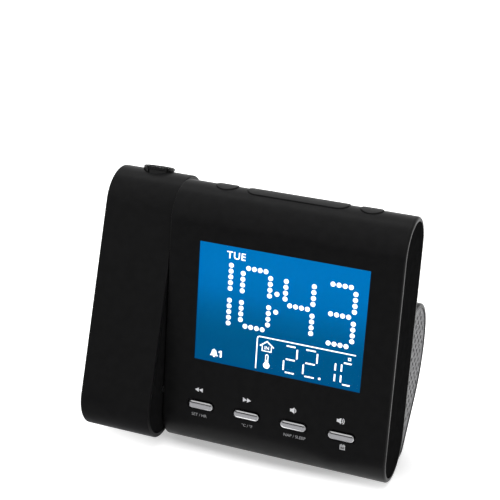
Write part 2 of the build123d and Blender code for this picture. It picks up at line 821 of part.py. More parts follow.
with BuildPart() as key_board:
    with BuildSketch(facing(key_board_front)):
        with Locations((key_shift, key_height_up)):
            Rectangle((key_count - 1) * key_pitch + 2 * switch_side, key_board_height)
    extrude(amount=-board_thick)
finish(key_board, "key_board")

with BuildPart() as key_switches:
    with BuildSketch(facing(key_board_front)):
        with Locations(*[(x, key_height_up) for x in key_places]):
            Rectangle(switch_side, switch_side)
    extrude(amount=switch_height)
    with BuildSketch(facing(key_switch_top)):
        with Locations(*[(x, key_height_up) for x in key_places]):
            Circle(plunger_radius + plunger_gap)
    extrude(amount=-(plunger_reach + key_travel + press_clear), mode=Mode.SUBTRACT)
finish(key_switches, "key_switches")

with BuildPart() as top_board:
    with BuildSketch(level(top_board_top, top_shift)):
        with Locations((0, top_back)):
            Rectangle(top_board_length, top_board_depth)
    extrude(amount=-board_thick)
finish(top_board, "top_board")

with BuildPart() as top_switches:
    with BuildSketch(level(top_board_top)):
        with Locations(*[(x, top_back) for x in top_keys.values()]):
            Rectangle(switch_side, switch_side)
    extrude(amount=switch_height)
    with BuildSketch(level(top_switch_top)):
        with Locations(*[(x, top_back) for x in top_keys.values()]):
            Circle(plunger_radius + plunger_gap)
    extrude(amount=-(plunger_reach + top_travel + press_clear), mode=Mode.SUBTRACT)
finish(top_switches, "top_switches")

# ---------------------------------------------------------------- front keys
key_names = ["back_key", "forward_key", "quieter_key", "louder_key"]
crown_depth = key_crown - body_radius - key_proud
for name, x in zip(key_names, key_places):
    # a round bar with ball ends, whose front is the key's bulging face
    with BuildPart() as crown:
        with Locations(facing(crown_depth)):
            with Locations((x, key_height_up)):
                with GridLocations(key_length - key_height, 0, 2, 1):
                    Sphere(key_crown)
                Cylinder(key_crown, key_length - key_height, rotation=(0, 90, 0))
    with BuildPart() as key:
        with BuildSketch(facing(key_flange_back - key_flange)):
            with Locations((x, key_height_up)):
                SlotOverall(key_length, key_height)
        extrude(amount=body_radius + key_proud + key_flange_back - key_flange)
        add(crown.part, mode=Mode.INTERSECT)
        crown_rim = key.edges().group_by(Axis((0, 0, 0), back * -1))[-2]
        fillet(crown_rim, radius=key_round)
        with BuildSketch(facing(key_flange_back)):
            with Locations((x, key_height_up)):
                SlotOverall(
                    key_length + 2 * (key_gap + key_flange),
                    key_height + 2 * (key_gap + key_flange),
                )
        extrude(amount=key_flange)
        with BuildSketch(facing(key_stem_end)):
            with Locations((x, key_height_up)):
                Circle(stem_radius)
        extrude(amount=key_stem_end - key_flange_back)
    finish(key, name)
    with BuildPart() as plunger:
        with BuildSketch(facing(key_stem_end)):
            with Locations((x, key_height_up)):
                Circle(plunger_radius)
        extrude(amount=key_stem_end - key_switch_top - plunger_reach)
    finish(plunger, name + "_plunger")

# ---------------------------------------------------------------- top keys
top_spot = (body_spacing * sin(lean), body_spacing * cos(lean))


def curved_pad(name, x, outer, inner, grow):
    """A pad of a top key's plan that follows the upper round between two radii."""
    with BuildPart() as pad:
        with BuildSketch(section(body_mid + x - snooze_length)):
            with Locations(top_spot):
                Circle(outer)
                Circle(inner, mode=Mode.SUBTRACT)
        extrude(amount=2 * snooze_length)
        with BuildSketch(level(body_spacing, x)):
            top_footprint(name, grow)
        extrude(amount=2 * body_radius, mode=Mode.INTERSECT)
    return pad.part


for name, x in top_keys.items():
    cap = curved_pad(name, x, body_radius + top_proud, top_flange_low, 0.0)
    flange = curved_pad(name, x, top_inner, top_flange_low, key_gap + key_flange)
    with BuildPart() as top_key:
        add(cap)
        crown = top_key.faces().sort_by(Axis((0, 0, 0), up))[-1]
        fillet(crown.edges(), radius=key_round)
        add(flange)
        with BuildSketch(level(top_stem_end, x)):
            with Locations((0, top_back)):
                Circle(stem_radius)
        extrude(amount=body_spacing + top_inner - top_stem_end - fit_gap)
    finish(top_key, name)
    with BuildPart() as plunger:
        with BuildSketch(level(top_stem_end, x)):
            with Locations((0, top_back)):
                Circle(plunger_radius)
        extrude(amount=top_switch_top - plunger_reach - top_stem_end)
    finish(plunger, name + "_plunger")

# ---------------------------------------------------------------- speaker
speaker_x = hump_right - panel_recess - panel_thick
speaker_spot = (speaker_back, speaker_up)
basket_back = -(speaker_rim + basket_depth)


def speaker_profile_plane():
    """Plane through the speaker's axis: local X is the radius, local Y faces the grille."""
    place = Vector(speaker_x, body_y + speaker_back, body_z + speaker_up)
    return Plane(origin=place, x_dir=(0, 0, 1), z_dir=(0, 1, 0))


speaker_axis = Axis(speaker_profile_plane().origin, (1, 0, 0))

with BuildPart() as speaker_basket:
    with BuildSketch(speaker_profile_plane()):
        Polygon(
            (speaker_radius, -cone_thick),
            (speaker_radius - rim_width, -cone_thick),
            (magnet_radius - basket_wall, basket_back + basket_wall),
            (0, basket_back + basket_wall),
            (0, basket_back),
            (magnet_radius, basket_back),
            (speaker_radius - basket_wall, -speaker_rim),
            (speaker_radius, -speaker_rim),
            align=None,
        )
    revolve(axis=speaker_axis)
finish(speaker_basket, "speaker_basket")

cone_rim = speaker_radius - rim_width
with BuildPart() as speaker_cone:
    with BuildSketch(speaker_profile_plane()):
        Polygon(
            (speaker_radius, 0),
            (cone_rim, 0),
            (dome_radius, -basket_depth / 2),
            (0, -basket_depth / 4),
            (0, -basket_depth / 4 - cone_thick),
            (dome_radius, -basket_depth / 2 - cone_thick),
            (cone_rim, -cone_thick),
            (speaker_radius, -cone_thick),
            align=None,
        )
    revolve(axis=speaker_axis)
finish(speaker_cone, "speaker_cone")

with BuildPart() as speaker_magnet:
    with BuildSketch(section(speaker_x + basket_back)):
        with Locations(speaker_spot):
            Circle(magnet_radius)
    extrude(amount=-magnet_depth)
finish(speaker_magnet, "speaker_magnet")

# ---------------------------------------------------------------- supply
jack_bore_depth = jack_pin_inset + jack_pin_length
with BuildPart() as dc_jack:
    with BuildSketch(jack_plane(jack_face)):
        Circle(jack_nose_radius)
    extrude(amount=-jack_nose)
    with BuildSketch(jack_plane(jack_face + jack_nose)):
        Rectangle(jack_side, jack_side)
    extrude(amount=-jack_length)
    with BuildSketch(jack_plane(jack_face)):
        Circle(jack_bore_radius)
    extrude(amount=-jack_bore_depth, mode=Mode.SUBTRACT)
finish(dc_jack, "dc_jack")

with BuildPart() as jack_pin:
    with BuildSketch(jack_plane(jack_face + jack_pin_inset)):
        Circle(jack_pin_radius)
    extrude(amount=-jack_pin_length)
finish(jack_pin, "jack_pin")

with BuildPart() as aerial_grommet:
    with BuildSketch(facing(body_radius + grommet_proud)):
        with Locations((grommet_x, grommet_up)):
            Circle(grommet_radius - fit_gap)
            Circle(grommet_hole_radius, mode=Mode.SUBTRACT)
    extrude(amount=wall + 2 * grommet_proud)
finish(aerial_grommet, "aerial_grommet")

cell_side = door_across * (cell_pitch / 2)
cell_spots = [bay_centre - cell_side, bay_centre + cell_side]
cell_start = bay_start + bay_wall + contact_thick + contact_spring
bay_middle = bay_floor + door_way * (bay_height / 2)

with BuildPart() as battery_bay:
    with BuildSketch(section(bay_start)):
        with Locations(bay_middle):
            Rectangle(bay_depth, bay_height, rotation=-bay_tilt)
        hump_outline(wall, mode=Mode.INTERSECT)
    extrude(amount=bay_length)
    with BuildSketch(section(bay_start + bay_wall)):
        for spot in cell_spots:
            with Locations(spot):
                Circle(channel_side / 2)
            with Locations(spot + door_way * (bay_height / 2)):
                Rectangle(channel_side, bay_height, rotation=-bay_tilt)
    extrude(amount=channel_length, mode=Mode.SUBTRACT)
finish(battery_bay, "battery_bay")

with BuildPart() as battery_cells:
    with BuildSketch(section(cell_start)):
        with Locations(*cell_spots):
            Circle(cell_radius)
    extrude(amount=cell_length - cell_button)
    with BuildSketch(section(cell_start)):
        with Locations(*cell_spots):
            Circle(cell_button_radius)
    extrude(amount=cell_length)
finish(battery_cells, "battery_cells")

with BuildPart() as battery_contacts:
    with BuildSketch(section(bay_start + bay_wall)):
        with Locations(*cell_spots):
            Circle(cell_radius)
    extrude(amount=contact_thick)
    with BuildSketch(section(bay_start + bay_wall + contact_thick)):
        with Locations(*cell_spots):
            Circle(spring_radius)
            Circle(spring_radius - spring_wire, mode=Mode.SUBTRACT)
    extrude(amount=contact_spring)
    with BuildSketch(section(cell_start + cell_length)):
        with Locations(*cell_spots):
            Circle(cell_radius)
    extrude(amount=contact_thick)
finish(battery_contacts, "battery_contacts")

with BuildPart() as battery_door:
    with BuildSketch(section(bay_mid - door_length / 2)):
        hump_outline()
        hump_outline(wall - door_thin, mode=Mode.SUBTRACT)
    extrude(amount=door_length)
    with BuildSketch(bay_plane()):
        Rectangle(door_length, door_depth)
    extrude(amount=hump_corner, mode=Mode.INTERSECT)
    with BuildSketch(bay_plane()):
        with Locations((0, door_depth / 2)):
            SlotOverall(4 * finger_notch, 2 * finger_notch)
    extrude(amount=hump_corner, mode=Mode.SUBTRACT)
finish(battery_door, "battery_door")

# ---------------------------------------------------------------- casing screws
with BuildPart() as housing_screws:
    with BuildSketch(facing(screw_seat)):
        with Locations(*post_places):
            Circle(screw_head_radius)
    extrude(amount=-screw_head)
    with BuildSketch(facing(screw_seat)):
        with Locations(*post_places):
            Circle(screw_radius)
    extrude(amount=screw_length)
    with BuildSketch(facing(screw_seat + screw_head)):
        with Locations(*post_places):
            cross_recess(screw_head_radius)
    extrude(amount=cross_depth, mode=Mode.SUBTRACT)
finish(housing_screws, "housing_screws")

# ---------------------------------------------------------------- projector arm
arm_panel_face = arm_right - panel_recess
arm_panel_in = arm_panel_face - panel_thick
arm_wall_in = arm_left + wall
arm_way = Vector(sin(arm_lean), cos(arm_lean))
arm_post_heights = [-arm_post_drop, arm_post_rise - arm_tail]
arm_post_spots = [Vector(pivot_y, pivot_z) + arm_way * height for height in arm_post_heights]
stop_spot = Vector(pivot_y, pivot_z) - arm_way * stop_radius

# Radii of the projector's pieces, and their heights above the pivot
bore_radius = carrier_radius + carrier_gap
ring_radius = bore_radius + ring_wall
arm_top = arm_head + body_radius
ring_top = arm_top + ring_proud
flange_radius = ring_radius + ring_flange
flange_top = arm_head + sqrt(inner_radius**2 - flange_radius**2) - moving_gap / 2
flange_low = flange_top - ring_flange
ring_waist = ring_radius - ring_taper
carrier_top = ring_top - carrier_drop
carrier_low = carrier_top - carrier_length
tube_top = flange_low - moving_gap
tube_radius = bore_radius + tube_wall
lamp_board_top = tube_top - projector_length
mask_low = tube_top - mask_depth
ledge_low = mask_low - seat_width
bracket_up = arm_head - carrier_drop

with BuildPart() as arm_shell:
    with BuildSketch(section(arm_left)):
        arm_oval(body_radius)
    extrude(amount=arm_width)
    ends = arm_shell.faces().sort_by(Axis.X)
    fillet(ends[0].edges(), radius=arm_round)
    ends = arm_shell.faces().sort_by(Axis.X)
    fillet(ends[-1].edges(), radius=inner_round)
    with BuildSketch(section(arm_wall_in)):
        arm_oval(inner_radius)
    extrude(amount=arm_width, mode=Mode.SUBTRACT)
    with BuildSketch(arm_level(arm_head, arm_mid)):
        Circle(ring_waist + ring_gap)
    extrude(amount=2 * body_radius, mode=Mode.SUBTRACT)
    # posts of the end panel's screws, and pegs of the projector's bracket
    with BuildSketch(section(arm_left + wall / 2)):
        with Locations(*arm_post_spots):
            Circle(arm_post_radius)
    extrude(amount=arm_panel_in - arm_left - wall / 2)
    with BuildSketch(section(arm_panel_in)):
        with Locations(*arm_post_spots):
            Circle(screw_radius + screw_gap)
    extrude(amount=-screw_length, mode=Mode.SUBTRACT)
    with BuildSketch(arm_side(arm_left + wall / 2)):
        with Locations((0, bracket_up)):
            with GridLocations(peg_spread, 0, 2, 1):
                Circle(peg_radius)
    extrude(amount=wall / 2 + peg_length)
finish(arm_shell, "arm_shell")

with BuildPart() as arm_end_panel:
    with BuildSketch(section(arm_panel_face)):
        arm_oval(inner_radius - fit_gap)
        with Locations(pivot_spot):
            Circle(shaft_radius + fit_gap, mode=Mode.SUBTRACT)
    extrude(amount=-panel_thick)
    with Locations(section(arm_panel_face)):
        with Locations(*arm_post_spots):
            CounterSinkHole(
                screw_radius + screw_gap,
                screw_head_radius + screw_gap,
                depth=2 * panel_thick,
                counter_sink_angle=90,
            )
    with BuildSketch(section(arm_panel_face)):
        with Locations(stop_spot):
            Circle(stop_peg_radius)
    extrude(amount=arm_gap + 2 * panel_recess + stop_reach)
finish(arm_end_panel, "arm_end_panel")

with BuildPart() as arm_screws:
    with BuildSketch(section(arm_panel_face)):
        with Locations(*arm_post_spots):
            Circle(screw_head_radius)
    extrude(amount=-(screw_head_radius - screw_radius), taper=45)
    with BuildSketch(section(arm_panel_face)):
        with Locations(*arm_post_spots):
            Circle(screw_radius)
    extrude(amount=-arm_screw_length)
    with BuildSketch(section(arm_panel_face)):
        with Locations(*arm_post_spots):
            cross_recess(screw_head_radius)
    extrude(amount=-cross_depth, mode=Mode.SUBTRACT)
finish(arm_screws, "arm_screws")

# ---------------------------------------------------------------- pivot
hub_end = body_left + panel_recess + panel_thick + hub_length
washer_start = hub_end + shaft_running_gap
clip_start = washer_start + washer_thick + shaft_running_gap
shaft_end = clip_start + clip_thick + shaft_tail
groove_bottom = shaft_radius - clip_depth
shaft_bore = shaft_radius - shaft_wall
shaft_flange_radius = shaft_radius + shaft_flange_reach

with BuildPart() as pivot_shaft:
    with BuildSketch(section(arm_panel_in)):
        with Locations(pivot_spot):
            Circle(shaft_flange_radius)
    extrude(amount=-shaft_flange)
    with BuildSketch(section(arm_panel_in)):
        with Locations(pivot_spot):
            Circle(shaft_radius)
    extrude(amount=shaft_end - arm_panel_in)
    with BuildSketch(section(clip_start)):
        with Locations(pivot_spot):
            Circle(shaft_radius)
            Circle(groove_bottom, mode=Mode.SUBTRACT)
    extrude(amount=clip_thick, mode=Mode.SUBTRACT)
    with BuildSketch(section(arm_panel_in - shaft_flange)):
        with Locations(pivot_spot):
            Circle(shaft_bore)
    extrude(amount=shaft_end - arm_panel_in + shaft_flange, mode=Mode.SUBTRACT)
finish(pivot_shaft, "pivot_shaft")

with BuildPart() as pivot_washer:
    with BuildSketch(section(washer_start)):
        with Locations(pivot_spot):
            Circle(hub_radius)
            Circle(shaft_radius + shaft_running_gap, mode=Mode.SUBTRACT)
    extrude(amount=washer_thick)
finish(pivot_washer, "pivot_washer")

with BuildPart() as pivot_clip:
    with BuildSketch(section(clip_start)):
        with Locations(pivot_spot):
            Circle(shaft_radius + clip_width)
            Circle(groove_bottom, mode=Mode.SUBTRACT)
            Rectangle(
                shaft_radius,
                shaft_radius + clip_width,
                align=(Align.CENTER, Align.MIN),
                mode=Mode.SUBTRACT,
            )
    extrude(amount=clip_thick)
finish(pivot_clip, "pivot_clip")

# ---------------------------------------------------------------- projector
lens_axis = Axis(arm_level(0, arm_mid).origin, arm_up)


def turned(*points):
    """Turn an outline of (radius, height above the pivot) points about the lens axis."""
    with BuildSketch(arm_profile_plane(arm_mid)) as outline:
        Polygon(*points, align=None)
    revolve(outline.sketch, axis=lens_axis)


with BuildPart() as projector_tube:
    turned(
        (bore_radius, tube_top),
        (tube_radius, tube_top),
        (tube_radius, lamp_board_top),
        (bore_radius, lamp_board_top),
        (bore_radius, ledge_low),
        (bore_radius - 2 * seat_width, ledge_low),
        (bore_radius - 2 * seat_width, mask_low),
        (bore_radius, mask_low),
    )
    # slots of the carrier's ribs
    with BuildSketch(arm_level(carrier_low - focus_travel - moving_gap, arm_mid)):
        Rectangle(2 * (carrier_radius + key_rib + moving_gap), rib_width + moving_gap)
    extrude(amount=carrier_length, mode=Mode.SUBTRACT)
    # bracket to the arm's outer wall
    with BuildSketch(arm_side(arm_wall_in)):
        with Locations((0, bracket_up)):
            Rectangle(bracket_width, bracket_width)
    extrude(amount=bracket_thick)
    with BuildSketch(arm_side(arm_wall_in)):
        with Locations((0, bracket_up)):
            Rectangle(bracket_thick, bracket_width)
    extrude(amount=arm_mid - arm_wall_in - tube_radius + tube_wall / 2)
    with BuildSketch(arm_side(arm_wall_in)):
        with Locations((0, bracket_up)):
            with GridLocations(peg_spread, 0, 2, 1):
                Circle(peg_radius + fit_gap)
    extrude(amount=2 * bracket_thick, mode=Mode.SUBTRACT)
finish(projector_tube, "projector_tube")

lamp_board_right = arm_panel_in - shaft_flange - 2 * cable_radius
lamp_board_left = arm_mid - tube_radius
with BuildPart() as led_board:
    with BuildSketch(arm_level(lamp_board_top, (lamp_board_left + lamp_board_right) / 2)):
        Rectangle(lamp_board_right - lamp_board_left, lamp_board_depth)
    extrude(amount=-board_thick)
finish(led_board, "led_board")

with BuildPart() as projector_led:
    with BuildSketch(arm_level(lamp_board_top, arm_mid)):
        Circle(lamp_radius)
    extrude(amount=lamp_height)
    fillet(projector_led.faces().sort_by(Axis((0, 0, 0), arm_up))[-1].edges(), lamp_radius / 2)
finish(projector_led, "projector_led")

with BuildPart() as condenser_lens:
    with BuildSketch(arm_level(ledge_low, arm_mid)):
        Circle(bore_radius - fit_gap)
    extrude(amount=-lens_edge)
    with BuildSketch(arm_profile_plane(arm_mid)):
        with BuildLine():
            dome = ThreePointArc(
                (-bore_radius + seat_width, ledge_low - lens_edge),
                (0, ledge_low - lens_edge - lens_dome),
                (bore_radius - seat_width, ledge_low - lens_edge),
            )
            Line(dome @ 1, dome @ 0)
        make_face()
        split(bisect_by=Plane.YZ)
    revolve(axis=lens_axis)
finish(condenser_lens, "condenser_lens")

with BuildPart() as mask_display:
    with BuildSketch(arm_level(mask_low, arm_mid)):
        Circle(bore_radius - fit_gap)
    extrude(amount=mask_thick)
finish(mask_display, "mask_display")

bend_start = arm_panel_in + cable_radius
with BuildPart() as projector_cable:
    with BuildLine(arm_profile_plane(0)) as cable_line:
        run = Line((connector_left + cable_entry, 0), (bend_start, 0))
        bend = CenterArc((bend_start, cable_bend), cable_bend, 270, -90)
        Line(bend @ 1, (bend_start - cable_bend, lamp_board_top - board_thick))
    with BuildSketch(Plane(origin=run @ 0, z_dir=run % 0)):
        Circle(cable_radius)
    sweep(path=cable_line.wire())
finish(projector_cable, "projector_cable")

with BuildPart() as focus_ring:
    turned(
        (bore_radius, flange_low),
        (flange_radius, flange_low),
        (flange_radius, flange_top),
        (ring_waist, flange_top),
        (ring_waist, arm_top),
        (ring_radius, arm_top + ring_taper),
        (ring_radius, ring_top - ring_round),
        (ring_radius - ring_round, ring_top),
        (bore_radius + ring_dish, ring_top),
        (bore_radius, ring_top - ring_dish),
    )
    with BuildSketch(arm_level(arm_top, arm_mid)):
        with PolarLocations(ring_radius, ring_grooves):
            Circle(groove_radius)
    extrude(amount=2 * ring_proud, mode=Mode.SUBTRACT)
finish(focus_ring, "focus_ring")

lens_seat = carrier_top - lens_drop - lens_edge
carrier_bore = carrier_radius - carrier_wall
with BuildPart() as lens_carrier:
    turned(
        (carrier_bore, carrier_top),
        (carrier_radius, carrier_top),
        (carrier_radius, carrier_low),
        (carrier_bore, carrier_low),
        (carrier_bore, lens_seat - seat_width),
        (carrier_bore - seat_width, lens_seat - seat_width),
        (carrier_bore - seat_width, lens_seat),
        (carrier_bore, lens_seat),
    )
    with BuildSketch(arm_level(carrier_low, arm_mid)):
        Rectangle(2 * (carrier_radius + key_rib), rib_width)
        Circle(carrier_radius - carrier_wall / 2, mode=Mode.SUBTRACT)
    extrude(amount=rib_length)
finish(lens_carrier, "lens_carrier")

with BuildPart() as projection_lens:
    with BuildSketch(arm_level(lens_seat, arm_mid)):
        Circle(carrier_bore - fit_gap)
    extrude(amount=lens_edge)
    with BuildSketch(arm_profile_plane(arm_mid)):
        with BuildLine():
            dome = ThreePointArc(
                (-carrier_bore + 2 * fit_gap, lens_seat + lens_edge),
                (0, lens_seat + lens_edge + lens_dome),
                (carrier_bore - 2 * fit_gap, lens_seat + lens_edge),
            )
            Line(dome @ 1, dome @ 0)
        make_face()
        split(bisect_by=Plane.YZ)
    revolve(axis=lens_axis)
finish(projection_lens, "projection_lens")
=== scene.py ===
import json
from math import cos, pi, radians, sin

import bmesh
import bpy
import numpy as np
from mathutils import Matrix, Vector


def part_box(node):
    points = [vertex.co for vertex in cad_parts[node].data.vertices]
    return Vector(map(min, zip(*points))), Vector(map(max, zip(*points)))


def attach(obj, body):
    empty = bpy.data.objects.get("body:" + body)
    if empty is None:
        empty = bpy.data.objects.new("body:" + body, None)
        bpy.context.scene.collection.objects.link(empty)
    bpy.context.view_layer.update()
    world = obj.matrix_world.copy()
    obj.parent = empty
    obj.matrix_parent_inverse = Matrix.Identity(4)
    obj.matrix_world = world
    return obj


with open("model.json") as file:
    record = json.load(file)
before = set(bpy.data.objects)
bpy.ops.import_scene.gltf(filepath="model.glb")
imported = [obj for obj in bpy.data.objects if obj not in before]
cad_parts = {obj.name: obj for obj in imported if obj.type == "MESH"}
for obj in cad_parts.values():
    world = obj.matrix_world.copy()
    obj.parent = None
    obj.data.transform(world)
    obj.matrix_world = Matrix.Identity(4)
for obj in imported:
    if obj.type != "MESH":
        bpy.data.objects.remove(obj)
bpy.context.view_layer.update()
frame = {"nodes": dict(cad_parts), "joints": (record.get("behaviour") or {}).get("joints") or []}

# ---------------------------------------------------------------- places on the clock
# The body leans: its own directions are the ones that its keys are pressed in.
MM = 0.001
press = {joint["name"]: np.array(joint["axis"]) for joint in frame["joints"]}
ACROSS = np.array([1.0, 0.0, 0.0])
BACK = press["back_key_press"]
UP = -press["snooze_bar_press"]
BODY_RADIUS = 17.0          # of the rounds along the body's top and bottom
shell_low, shell_high = (np.array(corner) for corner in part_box("front_shell"))
LOWER_ROUND = np.array([
    (shell_low[0] + shell_high[0]) / 2,
    shell_low[1] + BODY_RADIUS * MM,
    shell_low[2] + BODY_RADIUS * MM,
])


def on_body(across, height, depth):
    """Points of the leaning body, from millimetres: across from its middle, up it from the
    centre of its lower round, and back from its middle plane."""
    across, height, depth = (
        np.asarray(value, float)[..., None] for value in (across, height, depth)
    )
    return LOWER_ROUND + MM * (across * ACROSS + height * UP + depth * BACK)


def depths_of(node):
    """The nearest and farthest depth of a CAD node behind the body's middle plane."""
    mesh = frame["nodes"][node].data
    points = np.empty(len(mesh.vertices) * 3, np.float32)
    mesh.vertices.foreach_get("co", points)
    depths = (points.reshape(-1, 3) - LOWER_ROUND) @ BACK / MM
    return depths.min(), depths.max()


WINDOW_BACK = depths_of("display_window")[1]
GLASS_FRONT = depths_of("lcd_panel")[0]
CASING_FRONT = -BODY_RADIUS
SYMBOL_THICK = 0.06         # of the lit symbols, halfway between the glass and the window
SYMBOL_DEPTH = (WINDOW_BACK + GLASS_FRONT - SYMBOL_THICK) / 2
INK_THICK = 0.03            # of the printed marks on the casing


# ---------------------------------------------------------------- flat shapes
# Outlines are in millimetres across and up the body, anticlockwise as the user sees them.
def disc(across, height, radius, sides=18):
    """Points at equal turns round a centre."""
    turn = np.arange(sides) * 2 * pi / sides
    return np.stack([across + radius * np.cos(turn), height + radius * np.sin(turn)], 1)


def stroke(points, width):
    """An open line given a width: each point moves half the width to either side, along the
    mitre of its two runs; the left side is walked backwards."""
    points = np.array(points, float)
    runs = np.diff(points, axis=0)
    runs /= np.linalg.norm(runs, axis=1)[:, None]
    before = np.vstack([runs[:1], runs])
    after = np.vstack([runs, runs[-1:]])
    left = np.stack([-(before + after)[:, 1], (before + after)[:, 0]], 1)
    left /= np.linalg.norm(left, axis=1)[:, None]
    normal = np.stack([-before[:, 1], before[:, 0]], 1)
    reach = width / 2 / (left * normal).sum(1)
    sides = left * reach[:, None]
    return np.vstack([points - sides, (points + sides)[::-1]])


def box_outline(left, low, right, high, width):
    """A line round a box."""
    return stroke([(left, low), (right, low), (right, high), (left, high), (left, low)], width)


def pill(start, end, width, sides=8):
    """A bar with round ends: two half circles of its width about its two ends."""
    start, end = np.array(start, float), np.array(end, float)
    heading = np.arctan2(end[1] - start[1], end[0] - start[0])
    turn = heading - pi / 2 + np.linspace(0, pi, sides)
    cap = width / 2 * np.stack([np.cos(turn), np.sin(turn)], 1)
    return np.vstack([end + cap, start - cap])


def arc(across, height, radius, first, last, count=10):
    """Points along part of a circle, between two angles in degrees."""
    turn = np.radians(np.linspace(first, last, count))
    return np.stack([across + radius * np.cos(turn), height + radius * np.sin(turn)], 1)


# ---------------------------------------------------------------- pieces
WELD_DISTANCE = 1e-7        # in metres


def add_object(name, mesh, finish):
    """A mesh object at the origin, with its place in its points."""
    mesh.materials.append(finish)
    piece = bpy.data.objects.new(name, mesh)
    bpy.context.scene.collection.objects.link(piece)
    return piece


def add_on_body(name, mesh, finish):
    """A mesh object that rides on the clock's body."""
    piece = add_object(name, mesh, finish)
    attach(piece, "clock_body")


def add_plates(name, outlines, depth, thick, finish):
    """Closed flat plates on the body: each outline is a plate's face, the same outline a
    thickness further back is its other face, and a band of quads joins the two."""
    points, faces, first = [], [], 0
    for outline in outlines:
        count = len(outline)
        near = first + np.arange(count)
        far = near + count
        points += [on_body(*outline.T, depth), on_body(*outline.T, depth + thick)]
        band = np.stack([near, far, np.roll(far, -1), np.roll(near, -1)], 1)
        faces += [near.tolist(), far[::-1].tolist(), *band.tolist()]
        first += 2 * count
    mesh = bpy.data.meshes.new(name)
    mesh.from_pydata(np.vstack(points).tolist(), [], faces)
    add_on_body(name, mesh, finish)


def letter_mesh(name, text, weight, spacing):
    """Plain upright letters as a closed mesh, half a unit thick to either side of a plane."""
    letters = bpy.data.curves.new(name, "FONT")
    letters.body = text
    letters.align_x = "CENTER"
    letters.offset = weight
    letters.space_character = spacing
    letters.extrude = 0.5
    holder = bpy.data.objects.new(name + "_curve", letters)
    bpy.context.scene.collection.objects.link(holder)
    bpy.context.view_layer.update()
    mesh = bpy.data.meshes.new_from_object(holder.evaluated_get(
        bpy.context.evaluated_depsgraph_get()
    ))
    bpy.data.objects.remove(holder)
    mesh.materials.clear()
    return mesh


def add_lettering(
    name, text, across, height, tall, depth, thick, finish, weight=0.0, spacing=1.0,
):
    """Letters on the body's front: their points are moved from their own middle to a point of
    the body, scaled to a height and squeezed to a thickness."""
    mesh = letter_mesh(name, text, weight, spacing)
    flat = np.empty(len(mesh.vertices) * 3, np.float32)
    mesh.vertices.foreach_get("co", flat)
    flat = flat.reshape(-1, 3)
    low, high = flat.min(0), flat.max(0)
    scale = tall / (high[1] - low[1])
    middle = (low + high) / 2
    points = on_body(
        across + (flat[:, 0] - middle[0]) * scale,
        height + (flat[:, 1] - middle[1]) * scale,
        depth + thick * (0.5 - flat[:, 2]),
    )
    mesh.vertices.foreach_set("co", points.astype(np.float32).ravel())
    welded = bmesh.new()
    welded.from_mesh(mesh)
    bmesh.ops.remove_doubles(welded, verts=welded.verts, dist=WELD_DISTANCE)
    welded.to_mesh(mesh)
    welded.free()
    add_on_body(name, mesh, finish)


